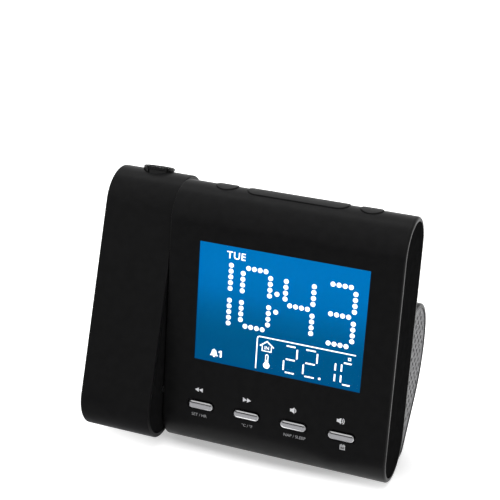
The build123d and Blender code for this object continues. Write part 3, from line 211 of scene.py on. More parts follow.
# ---------------------------------------------------------------- finishes
class Finish:
    """A material: one Principled shader, and patterns on Object coordinates joined to it."""

    def __init__(self, name, colour, roughness, **sockets):
        self.material = bpy.data.materials.new(name)
        self.material.use_nodes = True
        self.tree = self.material.node_tree
        self.shader = self.tree.nodes["Principled BSDF"]
        self.place = self.add("ShaderNodeTexCoord").outputs["Object"]
        self.normal = None
        self.shader.inputs["Base Color"].default_value = (*colour, 1)
        self.shader.inputs["Roughness"].default_value = roughness
        for socket, value in sockets.items():
            self.shader.inputs[socket.replace("_", " ")].default_value = value

    def add(self, kind, **settings):
        """A new node with some of its settings."""
        node = self.tree.nodes.new(kind)
        for setting, value in settings.items():
            setattr(node, setting, value)
        return node

    def join(self, output, socket):
        """A link from a node's output to a socket."""
        self.tree.links.new(output, socket)

    def combine(self, operation, first, second):
        """Two values added, multiplied or compared."""
        node = self.add("ShaderNodeMath", operation=operation)
        self.join(first, node.inputs[0])
        self.join(second, node.inputs[1])
        return node.outputs["Value"]

    def stretched(self, stretch):
        """Object coordinates, squeezed along each axis."""
        mapping = self.add("ShaderNodeMapping")
        mapping.inputs["Scale"].default_value = stretch
        self.join(self.place, mapping.inputs["Vector"])
        return mapping.outputs["Vector"]

    def noise(self, size, detail=2.0, stretch=(1, 1, 1)):
        """Soft cloudy values, with features of a size in metres."""
        noise = self.add("ShaderNodeTexNoise")
        noise.inputs["Scale"].default_value = 1 / size
        noise.inputs["Detail"].default_value = detail
        self.join(self.stretched(stretch), noise.inputs["Vector"])
        return noise.outputs["Fac"]

    def cells(self, size):
        """Distance from the nearest of scattered points a size apart."""
        cells = self.add("ShaderNodeTexVoronoi")
        cells.inputs["Scale"].default_value = 1 / size
        self.join(self.place, cells.inputs["Vector"])
        return cells.outputs["Distance"]

    def levels(self, value, low, high, start=0.3, stop=0.7):
        """A pattern's middle range spread between two values."""
        levels = self.add("ShaderNodeMapRange")
        for socket, number in zip(levels.inputs[1:5], (start, stop, low, high)):
            socket.default_value = number
        self.join(value, levels.inputs["Value"])
        return levels.outputs["Result"]

    def ramp(self, value, stops, step=False):
        """Colours at places between 0 and 1."""
        ramp = self.add("ShaderNodeValToRGB")
        if step:
            ramp.color_ramp.interpolation = "CONSTANT"
        while len(ramp.color_ramp.elements) < len(stops):
            ramp.color_ramp.elements.new(0.5)
        for element, (position, colour) in zip(ramp.color_ramp.elements, stops):
            element.position = position
            element.color = (*colour, 1)
        self.join(value, ramp.inputs["Fac"])
        return ramp.outputs["Color"]

    def glow(self, colour):
        """Light of a pattern's colour."""
        self.join(colour, self.shader.inputs["Emission Color"])
        return self

    def mottle(self, size, light, dark, detail=3.0):
        """Colour that drifts between two near shades."""
        colour = self.ramp(self.noise(size, detail), [(0.35, dark), (0.65, light)])
        self.join(colour, self.shader.inputs["Base Color"])
        return self

    def sheen(self, size, low, high, stretch=(1, 1, 1)):
        """Roughness that drifts between two values."""
        value = self.levels(self.noise(size, 3.0, stretch), low, high)
        self.join(value, self.shader.inputs["Roughness"])
        return self

    def relief(self, height, depth):
        """Bumps of a depth in metres, on top of the ones before."""
        bump = self.add("ShaderNodeBump")
        bump.inputs["Distance"].default_value = depth
        self.join(height, bump.inputs["Height"])
        if self.normal:
            self.join(self.normal, bump.inputs["Normal"])
        self.normal = bump.outputs["Normal"]
        self.join(self.normal, self.shader.inputs["Normal"])
        return self

    def grain(self, size, depth, detail=2.0, stretch=(1, 1, 1)):
        """Fine moulded or ground grain."""
        return self.relief(self.noise(size, detail, stretch), depth)


def grey(level):
    """A grey with a trace of blue."""
    return (level, level, level * 1.03)


def casing_plastic():
    """Black moulded plastic: fine spark-eroded grain, and slow waves where it shrank."""
    finish = Finish("casing_plastic", grey(0.0075), 0.36, Specular_IOR_Level=0.07)
    finish.mottle(4 * MM, grey(0.0084), grey(0.0068))
    finish.sheen(6 * MM, 0.32, 0.4)
    finish.grain(30 * MM, 0.05 * MM, detail=0.0)
    return finish.grain(0.22 * MM, 0.006 * MM).material


def panel_plastic():
    """Smoother black plastic of the end panels."""
    finish = Finish("panel_plastic", grey(0.012), 0.5, Specular_IOR_Level=0.0)
    finish.mottle(5 * MM, grey(0.0135), grey(0.0105))
    finish.sheen(5 * MM, 0.45, 0.55)
    return finish.grain(0.18 * MM, 0.004 * MM).material


def grille_painted_light():
    """Perforated panel with a pebbled face; its dark grey is painted light falling on its side.
    """
    finish = Finish("grille_painted_light", grey(0.23), 0.5, Specular_IOR_Level=0.15)
    finish.mottle(1.2 * MM, grey(0.26), grey(0.2))
    finish.sheen(2 * MM, 0.45, 0.6)
    return finish.relief(finish.cells(0.5 * MM), 0.02 * MM).material


def button_plastic():
    """Satin black of the top keys."""
    finish = Finish("button_plastic", grey(0.009), 0.45, Specular_IOR_Level=0.15)
    finish.mottle(2 * MM, grey(0.011), grey(0.008))
    finish.sheen(2 * MM, 0.42, 0.55)
    return finish.grain(0.3 * MM, 0.01 * MM).material


def satin_silver():
    """Plated key caps, brushed lengthwise."""
    finish = Finish("satin_silver", (0.64, 0.64, 0.65), 0.14, Metallic=1.0)
    finish.sheen(0.25 * MM, 0.08, 0.16, stretch=(0.06, 1, 1))
    return finish.grain(0.12 * MM, 0.0015 * MM, stretch=(0.05, 1, 1)).material


def window_acrylic():
    """Clear coated acrylic."""
    finish = Finish(
        "window_acrylic", (1, 1, 1), 0.02, IOR=1.05, Transmission_Weight=1.0
    )
    return finish.sheen(15 * MM, 0.0, 0.03).material


DARK_BLUE, BRIGHT_BLUE = 44, 80     # heights on the body between which the blue changes


def lit_glass():
    """The display's ground: blue from the lamp strip above it, fading down the body."""
    finish = Finish(
        "lit_glass", (0.0, 0.01, 0.02), 0.3, Specular_IOR_Level=0.0, Emission_Strength=1.0
    )
    rise = finish.add("ShaderNodeVectorMath", operation="DOT_PRODUCT")
    rise.inputs[1].default_value = UP
    finish.join(finish.place, rise.inputs[0])
    low, high = (float(on_body(0, height, 0) @ UP) for height in (DARK_BLUE, BRIGHT_BLUE))
    blues = finish.ramp(finish.levels(rise.outputs["Value"], 0, 1, low, high), [
        (0.0, (0.0, 0.080, 0.227)),
        (0.17, (0.0, 0.089, 0.246)),
        (0.44, (0.0, 0.114, 0.332)),
        (0.72, (0.0, 0.150, 0.456)),
        (1.0, (0.0, 0.168, 0.503)),
    ])
    return finish.glow(blues).material


def lit_symbol():
    """White light through the display's clear symbols."""
    finish = Finish("lit_symbol", (0.8, 0.8, 0.8), 0.5, Emission_Strength=0.95)
    whites = finish.ramp(finish.noise(1.5 * MM), [(0.3, (0.9, 0.97, 1)), (0.6, (1, 1, 1))])
    return finish.glow(whites).material


def printed_ink(name, light, dark):
    """Screen-printed marks, a little thin in places."""
    finish = Finish(name, grey(light), 0.6)
    return finish.mottle(0.3 * MM, grey(light), grey(dark)).material


def moulded(name, colour, roughness=0.5, grain_size=0.3 * MM, grain_depth=0.008 * MM):
    """Plain moulded plastic of one colour, with grain and a slow drift of shade and gloss."""
    finish = Finish(name, colour, roughness)
    finish.mottle(3 * MM, colour, [0.8 * part for part in colour])
    finish.sheen(3 * MM, roughness - 0.06, roughness + 0.06)
    return finish.grain(grain_size, grain_depth).material


def milky_plastic():
    """Diffusing light guide, bright where the lamps shine into it."""
    finish = Finish("milky_plastic", (0.85, 0.9, 0.95), 0.35, Emission_Strength=0.15)
    blues = finish.ramp(finish.noise(4 * MM), [(0.3, (0.05, 0.2, 0.5)), (0.7, (0.1, 0.3, 0.7))])
    return finish.glow(blues).material


def lamp_resin():
    """The row of blue lamps under clear resin."""
    finish = Finish("lamp_resin", (0.8, 0.8, 0.6), 0.25, Emission_Strength=0.4)
    wave = finish.add("ShaderNodeTexWave", bands_direction="X")
    wave.inputs["Scale"].default_value = 40
    finish.join(finish.place, wave.inputs["Vector"])
    lamps = finish.ramp(wave.outputs["Fac"], [(0.5, (0.02, 0.1, 0.3)), (0.9, (0.2, 0.5, 1))])
    return finish.glow(lamps).material


def circuit_board():
    """Green solder mask over copper tracks, which stand a little proud of it."""
    finish = Finish("circuit_board", (0.01, 0.12, 0.04), 0.35)
    tracks = finish.add("ShaderNodeTexBrick")
    tracks.inputs["Scale"].default_value = 160
    tracks.inputs["Color1"].default_value = (0.01, 0.12, 0.04, 1)
    tracks.inputs["Color2"].default_value = (0.012, 0.1, 0.035, 1)
    tracks.inputs["Mortar"].default_value = (0.03, 0.24, 0.08, 1)
    tracks.inputs["Mortar Size"].default_value = 0.03
    finish.join(finish.place, tracks.inputs["Vector"])
    finish.join(tracks.outputs["Color"], finish.shader.inputs["Base Color"])
    return finish.relief(tracks.outputs["Fac"], 0.03 * MM).material


def bright_steel():
    """Zinc-plated steel with fine turning marks."""
    finish = Finish("bright_steel", (0.62, 0.62, 0.63), 0.32, Metallic=1.0)
    finish.sheen(0.5 * MM, 0.25, 0.42)
    return finish.grain(0.1 * MM, 0.002 * MM, stretch=(1, 1, 0.2)).material


def rubber(name, colour):
    """Soft rubber: dull, with a sandy face."""
    finish = Finish(name, colour, 0.85, Specular_IOR_Level=0.3)
    finish.mottle(1.5 * MM, colour, [0.7 * part for part in colour])
    finish.sheen(1 * MM, 0.75, 0.92)
    return finish.grain(0.15 * MM, 0.015 * MM).material


def cone_paper():
    """Pressed pulp with fibres."""
    finish = Finish("cone_paper", grey(0.03), 0.9)
    finish.mottle(0.6 * MM, grey(0.045), grey(0.02), detail=6.0)
    return finish.grain(0.2 * MM, 0.03 * MM, detail=6.0).material


def cell_wrap():
    """Printed steel can: dark sleeve, a plain copper-coloured band, bare metal at the ends."""
    finish = Finish("cell_wrap", grey(0.05), 0.28, Metallic=0.7)
    low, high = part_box("battery_cells")
    split = finish.add("ShaderNodeSeparateXYZ")
    finish.join(finish.place, split.inputs["Vector"])
    length = finish.levels(split.outputs["X"], 0, 1, low.x, high.x)
    bands = finish.ramp(length, [
        (0.0, grey(0.6)),
        (0.03, grey(0.035)),
        (0.7, (0.5, 0.21, 0.06)),
        (0.96, grey(0.6)),
    ], step=True)
    finish.join(bands, finish.shader.inputs["Base Color"])
    finish.sheen(4 * MM, 0.22, 0.36)
    return finish.grain(8 * MM, 0.02 * MM, detail=1.0).material


def clear_lens():
    """Polished lens."""
    finish = Finish("clear_lens", (0.95, 0.97, 0.98), 0.01, IOR=1.49, Transmission_Weight=1.0)
    return finish.sheen(3 * MM, 0.0, 0.02).material


def red_lens():
    """Lens lit dark red from below, brighter towards its middle."""
    finish = Finish(
        "red_lens", (0.05, 0.0, 0.0), 0.08, Specular_IOR_Level=0.2, Emission_Strength=1.0
    )
    low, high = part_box("projection_lens")
    centre = (np.array(low) + np.array(high)) / 2
    offset = finish.add("ShaderNodeVectorMath", operation="DISTANCE")
    offset.inputs[1].default_value = centre
    finish.join(finish.place, offset.inputs[0])
    spread = finish.levels(offset.outputs["Value"], 0, 1, 0, 5.5 * MM)
    reds = finish.ramp(spread, [
        (0.0, (0.9, 0.03, 0.02)),
        (0.5, (0.5, 0.01, 0.008)),
        (1.0, (0.12, 0, 0)),
    ])
    return finish.glow(reds).material


def red_resin():
    """The projector's lamp."""
    finish = Finish("red_resin", (0.5, 0.01, 0.01), 0.15, Emission_Strength=0.8)
    reds = finish.ramp(finish.noise(1 * MM), [(0.3, (0.5, 0.01, 0.01)), (0.7, (1, 0.05, 0.03))])
    return finish.glow(reds).material


def mask_glass():
    """Transmissive display of dark red glass; random lighter patches are painted light for lit
    cells.
    """
    finish = Finish("mask_glass", (0.05, 0.01, 0.01), 0.1)
    finish.mottle(1 * MM, (0.12, 0.01, 0.01), (0.02, 0.004, 0.004))
    return finish.sheen(1 * MM, 0.08, 0.15).material


def ring_gloss():
    """Polished black of the focus ring, with a hard clear coat."""
    finish = Finish(
        "ring_gloss", grey(0.003), 0.1, Specular_IOR_Level=0.2, Coat_Weight=0.08,
        Coat_Roughness=0.05,
    )
    finish.mottle(1 * MM, grey(0.004), grey(0.002))
    return finish.sheen(2 * MM, 0.06, 0.14).material


def dress(finish, *names):
    """Give CAD nodes a material in place of their plain one."""
    for name in names:
        for slot in frame["nodes"][name].material_slots:
            slot.material = finish


front_keys = ["back_key", "forward_key", "quieter_key", "louder_key"]
top_keys = ["projector_button", "snooze_bar", "alarm_button"]
dress(casing_plastic(), "front_shell", "rear_housing", "arm_shell", "battery_door")
dress(panel_plastic(), "left_end_panel", "right_end_panel", "arm_end_panel")
dress(grille_painted_light(), "speaker_grille")
dress(button_plastic(), *top_keys)
dress(satin_silver(), *front_keys)
dress(window_acrylic(), "display_window")
dress(lit_glass(), "lcd_panel")
dress(milky_plastic(), "light_guide")
dress(lamp_resin(), "backlight_strip")
dress(moulded("white_frame", (0.7, 0.7, 0.67)), "lcd_frame")
dress(circuit_board(), "main_board", "key_board", "top_board", "led_board")
dress(moulded("part_epoxy", (0.02, 0.02, 0.022), 0.55), "board_components")
dress(moulded("switch_plastic", (0.03, 0.03, 0.03), 0.5), "key_switches", "top_switches")
dress(
    moulded("natural_nylon", (0.6, 0.56, 0.46), 0.45),
    *[key + "_plunger" for key in front_keys + top_keys],
)
dress(
    bright_steel(),
    "board_screws", "housing_screws", "arm_screws", "pivot_clip",
    "battery_contacts", "jack_pin", "speaker_basket",
)
dress(rubber("foot_rubber", (0.03, 0.03, 0.03)), "front_feet", "rear_feet")
dress(rubber("grommet_rubber", (0.018, 0.018, 0.018)), "aerial_grommet")
dress(rubber("friction_rubber", (0.05, 0.05, 0.05)), "pivot_washer")
dress(rubber("lead_sheath", (0.12, 0.12, 0.125)), "projector_cable")
dress(cone_paper(), "speaker_cone")
dress(moulded("ferrite", (0.06, 0.06, 0.065), 0.6, 0.5 * MM, 0.02 * MM), "speaker_magnet")
dress(moulded("jack_plastic", (0.012, 0.012, 0.012), 0.4), "dc_jack")
dress(moulded("bay_plastic", (0.02, 0.02, 0.021), 0.5), "battery_bay")
dress(cell_wrap(), "battery_cells")
dress(moulded("acetal", (0.7, 0.69, 0.64), 0.4), "pivot_shaft")
dress(moulded("tube_plastic", (0.01, 0.01, 0.01), 0.6), "projector_tube", "lens_carrier")
dress(red_resin(), "projector_led")
dress(clear_lens(), "condenser_lens")
dress(mask_glass(), "mask_display")
dress(ring_gloss(), "focus_ring")
dress(red_lens(), "projection_lens")


# ---------------------------------------------------------------- display
symbol = lit_symbol()


def add_symbols(name, outlines):
    """Plates of white light behind the window."""
    add_plates(name, outlines, SYMBOL_DEPTH, SYMBOL_THICK, symbol)


def add_word(name, text, across, height, tall, weight=0.0, spacing=1.0):
    """Lettering of white light behind the window."""
    add_lettering(
        name, text, across, height, tall, SYMBOL_DEPTH, SYMBOL_THICK, symbol,
        weight, spacing,
    )


# The time is drawn in round dots. Dot places count pitches across from the middle of the
# body, and pitches down from the digits' top row.
DOT_PITCH = 2.9
DOT_RADIUS = 0.41 * DOT_PITCH
DOT_TOP = 82.47             # height of the digits' top row
CORNER_STEP = 0.87          # from a corner's column across to its row's nearest dot
ROW_STEP = 1.015            # from a row down to the nearest dot of a column
ROW_DOTS = 4                # in a row or a column, without its corners
DIGIT_WIDE = 2 * CORNER_STEP + (ROW_DOTS - 1)
HALF_TALL = 2 * ROW_STEP + (ROW_DOTS - 1)
ONE, ZERO, FOUR, THREE = -8.99, -6.87, 0.54, 7.45   # left columns of the digits
ONE_DOTS = 5                # in either half of the digit 1
COLON = -0.88
COLON_RISE = 1.55           # of its dots, up and down from the digits' middle row


def dot_row(left, level):
    """Dots across, starting a corner step right of a digit's left column."""
    return [(left + CORNER_STEP + step, level) for step in range(ROW_DOTS)]


def dot_column(across, level):
    """Dots down, starting a row step below a row."""
    return [(across, level + ROW_STEP + step) for step in range(ROW_DOTS)]


def dotted_digit(left, rows, upper, lower):
    """A digit of up to three rows (0 top, 1 middle, 2 bottom) and the named columns
    (0 left, 1 right) of its upper and lower halves."""
    dots = []
    for row in rows:
        dots += dot_row(left, row * HALF_TALL)
    for side in upper:
        dots += dot_column(left + side * DIGIT_WIDE, 0)
    for side in lower:
        dots += dot_column(left + side * DIGIT_WIDE, HALF_TALL)
    return dots


def time_dots():
    """10:43, as discs."""
    dots = [(ONE, step) for step in range(ONE_DOTS)]
    dots += [(ONE, 2 * HALF_TALL - step) for step in range(ONE_DOTS)]
    dots += dotted_digit(ZERO, (0, 2), (0, 1), (0, 1))
    dots += [(COLON, HALF_TALL - COLON_RISE), (COLON, HALF_TALL + COLON_RISE)]
    dots += dotted_digit(FOUR, (1,), (0, 1), (1,))
    dots += dotted_digit(THREE, (0, 1, 2), (1,), (1,))
    return [
        disc(across * DOT_PITCH, DOT_TOP - down * DOT_PITCH, DOT_RADIUS)
        for across, down in dots
    ]


add_symbols("display_time", time_dots())
add_word("display_day", "TUE", across=-23.86, height=87.5, tall=3.5, weight=0.012, spacing=1.12)

# The corner line round the indoor temperature
LINE_WIDE = 0.55
LINE_LEFT, LINE_LOW, LINE_HIGH, LINE_RIGHT = -10.75, 33.1, 49.7, 38.0
LINE_ROUND = 1.2
add_symbols("display_corner_line", [stroke(
    np.vstack([
        [(LINE_RIGHT, LINE_HIGH)],
        arc(LINE_LEFT + LINE_ROUND, LINE_HIGH - LINE_ROUND, LINE_ROUND, 90, 180),
        [(LINE_LEFT, LINE_LOW)],
    ]),
    LINE_WIDE,
)])

# Temperature in bar digits; a bar is three short dashes
BAR_WIDE = 0.72
BAR_DASHES = 3
BAR_GAP = 0.16              # between two dashes
CORNER_GAP = 0.95           # from a digit's corner to a bar's end
SEGMENTS = {
    # name: start corner, end corner, in shares of the digit's width and height
    "top": ((0, 1), (1, 1)),
    "middle": ((0, 0.5), (1, 0.5)),
    "bottom": ((0, 0), (1, 0)),
    "upper_left": ((0, 0.5), (0, 1)),
    "upper_right": ((1, 0.5), (1, 1)),
    "lower_left": ((0, 0), (0, 0.5)),
    "lower_right": ((1, 0), (1, 0.5)),
}


def dashes(start, end, gap=BAR_GAP):
    """A bar between two corners as a few equal dashes with gaps between them."""
    start, end = np.array(start, float), np.array(end, float)
    length = np.linalg.norm(end - start)
    heading = (end - start) / length
    run = (length - 2 * CORNER_GAP + gap) / BAR_DASHES
    begins = [start + heading * (CORNER_GAP + run * count) for count in range(BAR_DASHES)]
    return [stroke([begin, begin + heading * (run - gap)], BAR_WIDE) for begin in begins]


def bar_digit(left, low, wide, tall, names, gap=BAR_GAP):
    """A digit from its named bars, between two corners of a box."""
    bars = []
    for name in names.split():
        corners = [(left + x * wide, low + y * tall) for x, y in SEGMENTS[name]]
        bars += dashes(*corners, gap)
    return bars


TWO = "top upper_right middle lower_left bottom"
LETTER_C = "top upper_left lower_left bottom"
ONE_STROKE = "upper_left lower_left"
add_symbols("display_temperature", [
    *bar_digit(left=3.1, low=34.2, wide=6.4, tall=13.5, names=TWO),
    *bar_digit(left=12.95, low=34.2, wide=6.55, tall=13.5, names=TWO),
    disc(across=21.3, height=34.45, radius=0.62, sides=10),
    *bar_digit(left=28.6, low=33.9, wide=0.01, tall=11.0, names=ONE_STROKE, gap=0.0),
    *bar_digit(left=31.6, low=34.0, wide=5.6, tall=10.95, names=LETTER_C, gap=0.0),
])
add_symbols("display_degree_mark", [
    box_outline(left=34.6, low=46.7, right=35.7, high=47.8, width=0.36)
])

# Indoor mark: a house with its eaves, and a thermometer
HOUSE_MIDDLE = -5.75
HOUSE_LOW, EAVES, RIDGE = 42.8, 45.1, 47.8
WALL_TOP = 45.4
WALL_REACH, EAVES_REACH = 2.3, 3.5      # to either side of the house's middle
WALL_LINE, ROOF_LINE = 0.42, 0.6        # widths of their lines
add_symbols("display_house", [
    stroke([
        (HOUSE_MIDDLE - EAVES_REACH, EAVES),
        (HOUSE_MIDDLE, RIDGE),
        (HOUSE_MIDDLE + EAVES_REACH, EAVES),
    ], ROOF_LINE),
    stroke([
        (HOUSE_MIDDLE - WALL_REACH, WALL_TOP),
        (HOUSE_MIDDLE - WALL_REACH, HOUSE_LOW),
        (HOUSE_MIDDLE + WALL_REACH, HOUSE_LOW),
        (HOUSE_MIDDLE + WALL_REACH, WALL_TOP),
    ], WALL_LINE),
])
add_word("display_house_word", "IN", across=HOUSE_MIDDLE, height=44.5, tall=1.7)


def thermometer():
    """A round bulb that narrows into a filled stem, and the line of a hollow tube above it."""
    middle = HOUSE_MIDDLE + 0.35
    bulb, bulb_radius = 35.6, 1.62
    stem_top, tube_top = 38.4, 41.3
    half, line = 0.8, 0.4       # half the tube's width, and the width of its line
    opening = np.degrees(np.arcsin(half / bulb_radius))
    filled = np.vstack([
        arc(middle, bulb, bulb_radius, 90 + opening, 450 - opening, 24),
        [(middle + half, stem_top), (middle - half, stem_top)],
    ])
    reach = half - line / 2
    hollow = np.vstack([
        [(middle - reach, stem_top)],
        arc(middle, tube_top - half, reach, 180, 0, 9),
        [(middle + reach, stem_top)],
    ])
    return [filled, stroke(hollow, line)]


add_symbols("display_thermometer", thermometer())


def alarm_bell(middle, low):
    """A bell: its half width grows as the root of the way down, and flares with its cube. It
    has a rim, a clapper and a knob."""
    share = np.linspace(0, 1, 10)
    half = 0.85 + 0.55 * share**0.5 + 0.35 * share**3
    height = low + 3.4 - 2.5 * share
    right = np.stack([middle + half, height], 1)[::-1]
    left = np.stack([middle - half, height], 1)
    rim_height, rim_reach = low + 0.62, 1.85
    return [
        np.vstack([right, left]),
        pill((middle - rim_reach, rim_height), (middle + rim_reach, rim_height), width=0.42),
        disc(middle, low + 0.1, radius=0.42, sides=10),
        disc(middle, low + 3.6, radius=0.4, sides=10),
    ]


add_symbols("display_alarm_bell", alarm_bell(middle=-32.43, low=34.6))
NUMBER_STEM = -28.9
add_symbols("display_alarm_number", [
    stroke([(NUMBER_STEM, 34.75), (NUMBER_STEM, 38.2)], width=0.85),
    stroke([(NUMBER_STEM, 37.95), (NUMBER_STEM - 1.2, 37.15)], width=0.6),
])

# ---------------------------------------------------------------- marks by the front keys
mark_ink = printed_ink("white_ink", 0.97, 0.85)
legend_ink = printed_ink("pale_ink", 0.5, 0.35)
INK_DEPTH = CASING_FRONT - INK_THICK
MARK_HEIGHT = 16.45         # above the keys
LEGEND_HEIGHT = 3.1         # below them
LEGEND_TALL = 1.5


def add_marks(name, outlines):
    """White plates on the casing's front."""
    add_plates(name, outlines, INK_DEPTH, INK_THICK, mark_ink)


def double_arrow(middle, way):
    """Two small triangles, one behind the other, pointing left (-1) or right (1)."""
    half_wide, half_tall = 1.05, 1.15
    rise = way * half_tall      # keeps the corners anticlockwise
    arrows = []
    for shift in (-half_wide, half_wide):
        tip = (middle + shift + way * half_wide, MARK_HEIGHT)
        base = middle + shift - way * half_wide
        corners = [tip, (base, MARK_HEIGHT + rise), (base, MARK_HEIGHT - rise)]
        arrows.append(np.array(corners))
    return arrows


def loudspeaker(middle, waves):
    """A small horn, and a few arcs of sound beside it."""
    centre = middle - 0.45 * (1 + waves)
    back, neck, mouth = centre - 1.3, centre - 0.4, centre + 0.9
    half_box, half_mouth = 0.75, 1.6
    horn = np.array([
        (back, MARK_HEIGHT - half_box),
        (neck, MARK_HEIGHT - half_box),
        (mouth, MARK_HEIGHT - half_mouth),
        (mouth, MARK_HEIGHT + half_mouth),
        (neck, MARK_HEIGHT + half_box),
        (back, MARK_HEIGHT + half_box),
    ])
    first_radius, wave_pitch, line = 1.3, 0.75, 0.38
    arcs = [
        stroke(
            arc(centre + 0.3, MARK_HEIGHT, first_radius + wave_pitch * wave, -45, 45, 8), line
        )
        for wave in range(waves)
    ]
    return [horn, *arcs]


def calendar(middle):
    """A sheet with a bar on top, two rings and two rows of days."""
    low, high, half = LEGEND_HEIGHT - 1.1, LEGEND_HEIGHT + 1.1, 1.15
    day_pitch, day_radius = 0.62, 0.17
    days = [
        disc(middle + step * day_pitch, LEGEND_HEIGHT - row * day_pitch, day_radius, 8)
        for row in (1, 0) for step in (-1, 0, 1)
    ]
    rings = [
        stroke([(middle + side, high - 0.1), (middle + side, high + 0.45)], 0.28)
        for side in (-0.6, 0.6)
    ]
    sheet = box_outline(middle - half, low, middle + half, high, 0.26)
    bar = stroke([(middle - half, high - 0.55), (middle + half, high - 0.55)], 0.3)
    return [sheet, bar, *days, *rings]


add_marks("back_mark", double_arrow(middle=-38.46, way=-1))
add_marks("forward_mark", double_arrow(middle=-13.24, way=1))
add_marks("quieter_mark", loudspeaker(middle=11.0, waves=1))
add_marks("louder_mark", loudspeaker(middle=34.8, waves=2))
add_marks("calendar_mark", calendar(middle=36.0))
for name, text, across in (
    ("set_legend", "SET / HR", -37.6),
    ("scale_legend", "°C / °F", -12.4),
    ("nap_legend", "NAP / SLEEP", 12.0),
):
    add_lettering(
        name, text, across, LEGEND_HEIGHT, LEGEND_TALL, INK_DEPTH, INK_THICK, legend_ink,
    )

# ---------------------------------------------------------------- floor, light and camera
FLOOR_RINGS = (0.0005, 0.5, 2.0, 6.0)   # radii, in metres
FLOOR_SIDES = 64
NEAR_FLOOR = 0.4            # painted glow of the floor near the clock, low so that its shadow shows
FAR_FLOOR = 1.0             # and further out, where painted glow whites out the shadow
FLOOR_STRETCH = (0.3, 1, 1)     # painted glow rises further out across the clock, so shadow shows further
SHADOW_START, SHADOW_STOP = 0.022, 0.036    # metres in front of the clock's middle; painted glow rises


def make_floor():
    """A flat disc: rings of points at growing radii round the clock."""
    radii = np.array(FLOOR_RINGS)
    turn = np.arange(FLOOR_SIDES) * 2 * pi / FLOOR_SIDES
    points = np.stack([
        radii[:, None] * np.cos(turn),
        radii[:, None] * np.sin(turn),
        np.zeros((len(radii), len(turn))),
    ], -1).reshape(-1, 3)
    index = np.arange(len(points)).reshape(len(radii), len(turn))
    inner, outer = index[:-1], index[1:]
    quads = np.stack(
        [inner, outer, np.roll(outer, -1, 1), np.roll(inner, -1, 1)], -1
    ).reshape(-1, 4)
    mesh = bpy.data.meshes.new("floor")
    mesh.from_pydata(points.tolist(), [], [index[0].tolist(), *quads.tolist()])
    floor = add_object("floor", mesh, floor_finish())


def floor_finish():
    """White paper that also shows white to the eye, and in gloss and glass. Its glow is painted
    light, more so with distance: it whites out the clock's shadow further out and keeps it near."""
    finish = Finish("floor_paper", (0.82, 0.82, 0.82), 0.9, Specular_IOR_Level=0.0)
    finish.grain(0.6 * MM, 0.01 * MM)
    distance = finish.add("ShaderNodeVectorMath", operation="LENGTH")
    finish.join(finish.stretched(FLOOR_STRETCH), distance.inputs[0])
    # painted light: glow rising with distance from the clock, covering its shadow further out
    white = finish.levels(
        distance.outputs["Value"], NEAR_FLOOR, FAR_FLOOR, SHADOW_START, SHADOW_STOP
    )
    rays = finish.add("ShaderNodeLightPath").outputs
    seen = finish.combine("MAXIMUM", rays["Is Camera Ray"], rays["Is Glossy Ray"])
    seen = finish.combine("MAXIMUM", seen, rays["Is Transmission Ray"])
    strength = finish.combine("MULTIPLY", white, seen)
    finish.shader.inputs["Emission Color"].default_value = (1, 1, 1, 1)
    finish.join(strength, finish.shader.inputs["Emission Strength"])
    return finish.material


WORLD_LIGHT = 0.3           # of the light from all round
WORLD_SEEN = 0.85           # as it shows to the eye, in gloss and in glass


def make_world():
    """Dim even light from all round, which shows as pale to the eye, gloss and glass."""
    world = bpy.data.worlds.new("studio")
    world.use_nodes = True
    nodes, links = world.node_tree.nodes, world.node_tree.links
    rays = nodes.new("ShaderNodeLightPath")
    level = nodes.new("ShaderNodeMapRange")
    level.inputs["To Min"].default_value = WORLD_SEEN
    level.inputs["To Max"].default_value = WORLD_LIGHT
    links.new(rays.outputs["Is Diffuse Ray"], level.inputs["Value"])
    background = nodes["Background"]
    background.inputs["Color"].default_value = (1, 1, 1, 1)
    links.new(level.outputs["Result"], background.inputs["Strength"])
    bpy.context.scene.world = world


def add_softbox(name, place, aim, size, power, in_gloss):
    """A rectangular area light that faces a point. It shows in gloss alone, or lights dull
    faces alone."""
    light = bpy.data.lights.new(name, "AREA")
    light.shape = "RECTANGLE"
    light.size, light.size_y = size
    light.energy = power
    lamp = bpy.data.objects.new(name, light)
    lamp.location = place
    lamp.rotation_euler = (Vector(aim) - Vector(place)).to_track_quat("-Z", "Y").to_euler()
    lamp.visible_glossy = in_gloss
    lamp.visible_diffuse = not in_gloss
    bpy.context.scene.collection.objects.link(lamp)


CARD_TURNS = (-165, -35)    # degrees round from the clock's right: across its front
CARD_STEPS = 24


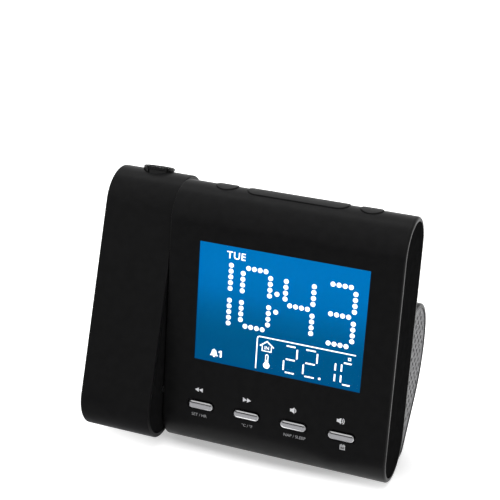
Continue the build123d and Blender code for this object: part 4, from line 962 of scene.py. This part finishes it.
def add_card(name, near, far, glow):
    """A card seen in gloss alone, which paints a reflection: a strip between two arcs round the
    clock, each with a radius and a height."""
    turn = np.radians(np.linspace(*CARD_TURNS, CARD_STEPS))
    edges = [
        np.stack([radius * np.cos(turn), radius * np.sin(turn), np.full(CARD_STEPS, height)], 1)
        for radius, height in (near, far)
    ]
    index = np.arange(CARD_STEPS)
    left, right = index[:-1], index[1:]
    quads = np.stack([left, right, right + CARD_STEPS, left + CARD_STEPS], 1)
    mesh = bpy.data.meshes.new(name)
    mesh.from_pydata(np.vstack(edges).tolist(), [], quads.tolist())
    finish = Finish(name, (0, 0, 0), 1.0, Specular_IOR_Level=0.0, Emission_Strength=1.0)
    finish.glow(finish.ramp(finish.noise(0.3), [(0.3, grey(glow)), (0.7, grey(1.1 * glow))]))
    card = add_object(name, mesh, finish.material)
    card.visible_camera = False
    card.visible_diffuse = False
    card.visible_shadow = False
    card.visible_transmission = False


CAMERA_TURN = 21.44         # degrees round to the clock's right
CAMERA_RISE = 27.40         # degrees
CAMERA_DISTANCE = 0.647     # from its aim, in metres
CAMERA_LENS, SENSOR_WIDE = 95.56, 36    # in millimetres
CAMERA_AIM = on_body(0, 0, CASING_FRONT) + (-0.02677, 0.04110, 0.07661)


def make_camera():
    """A long portrait lens that looks at its aim from a turn and a rise."""
    turn, rise = radians(CAMERA_TURN), radians(CAMERA_RISE)
    away = Vector((sin(turn) * cos(rise), -cos(turn) * cos(rise), sin(rise)))
    data = bpy.data.cameras.new("camera")
    data.lens = CAMERA_LENS
    data.sensor_width = SENSOR_WIDE
    data.clip_start = 0.01
    data.clip_end = 20
    camera = bpy.data.objects.new("camera", data)
    camera.location = Vector(CAMERA_AIM) + away * CAMERA_DISTANCE
    camera.rotation_mode = "QUATERNION"
    camera.rotation_quaternion = (-away).to_track_quat("-Z", "Y")
    bpy.context.scene.collection.objects.link(camera)
    bpy.context.scene.camera = camera


make_floor()
make_world()
add_softbox(
    "overhead_softbox", place=(0.0, -0.1, 1.1), aim=(0, 0, 0), size=(1.2, 1.2), power=12,
    in_gloss=False,
)
add_softbox(
    "back_strip", place=(0.0, 0.46, 1.05), aim=(0, 0, 0.1), size=(1.2, 0.25), power=2,
    in_gloss=True,
)
# painted reflection: a dim sheet before the clock, seen in gloss alone, darkening the casing's
# front and the keys
add_card("front_reflection_card", near=(0.055, 0.0008), far=(3.0, 0.02), glow=0.5)
# painted reflection: a dark band near the horizon, seen in gloss alone, laying a dark line along
# the silver keys
add_card("dark_reflection_band", near=(3.0, 0.02), far=(3.0, 0.6), glow=0.02)
make_camera()
bpy.context.scene.view_settings.view_transform = "Standard"
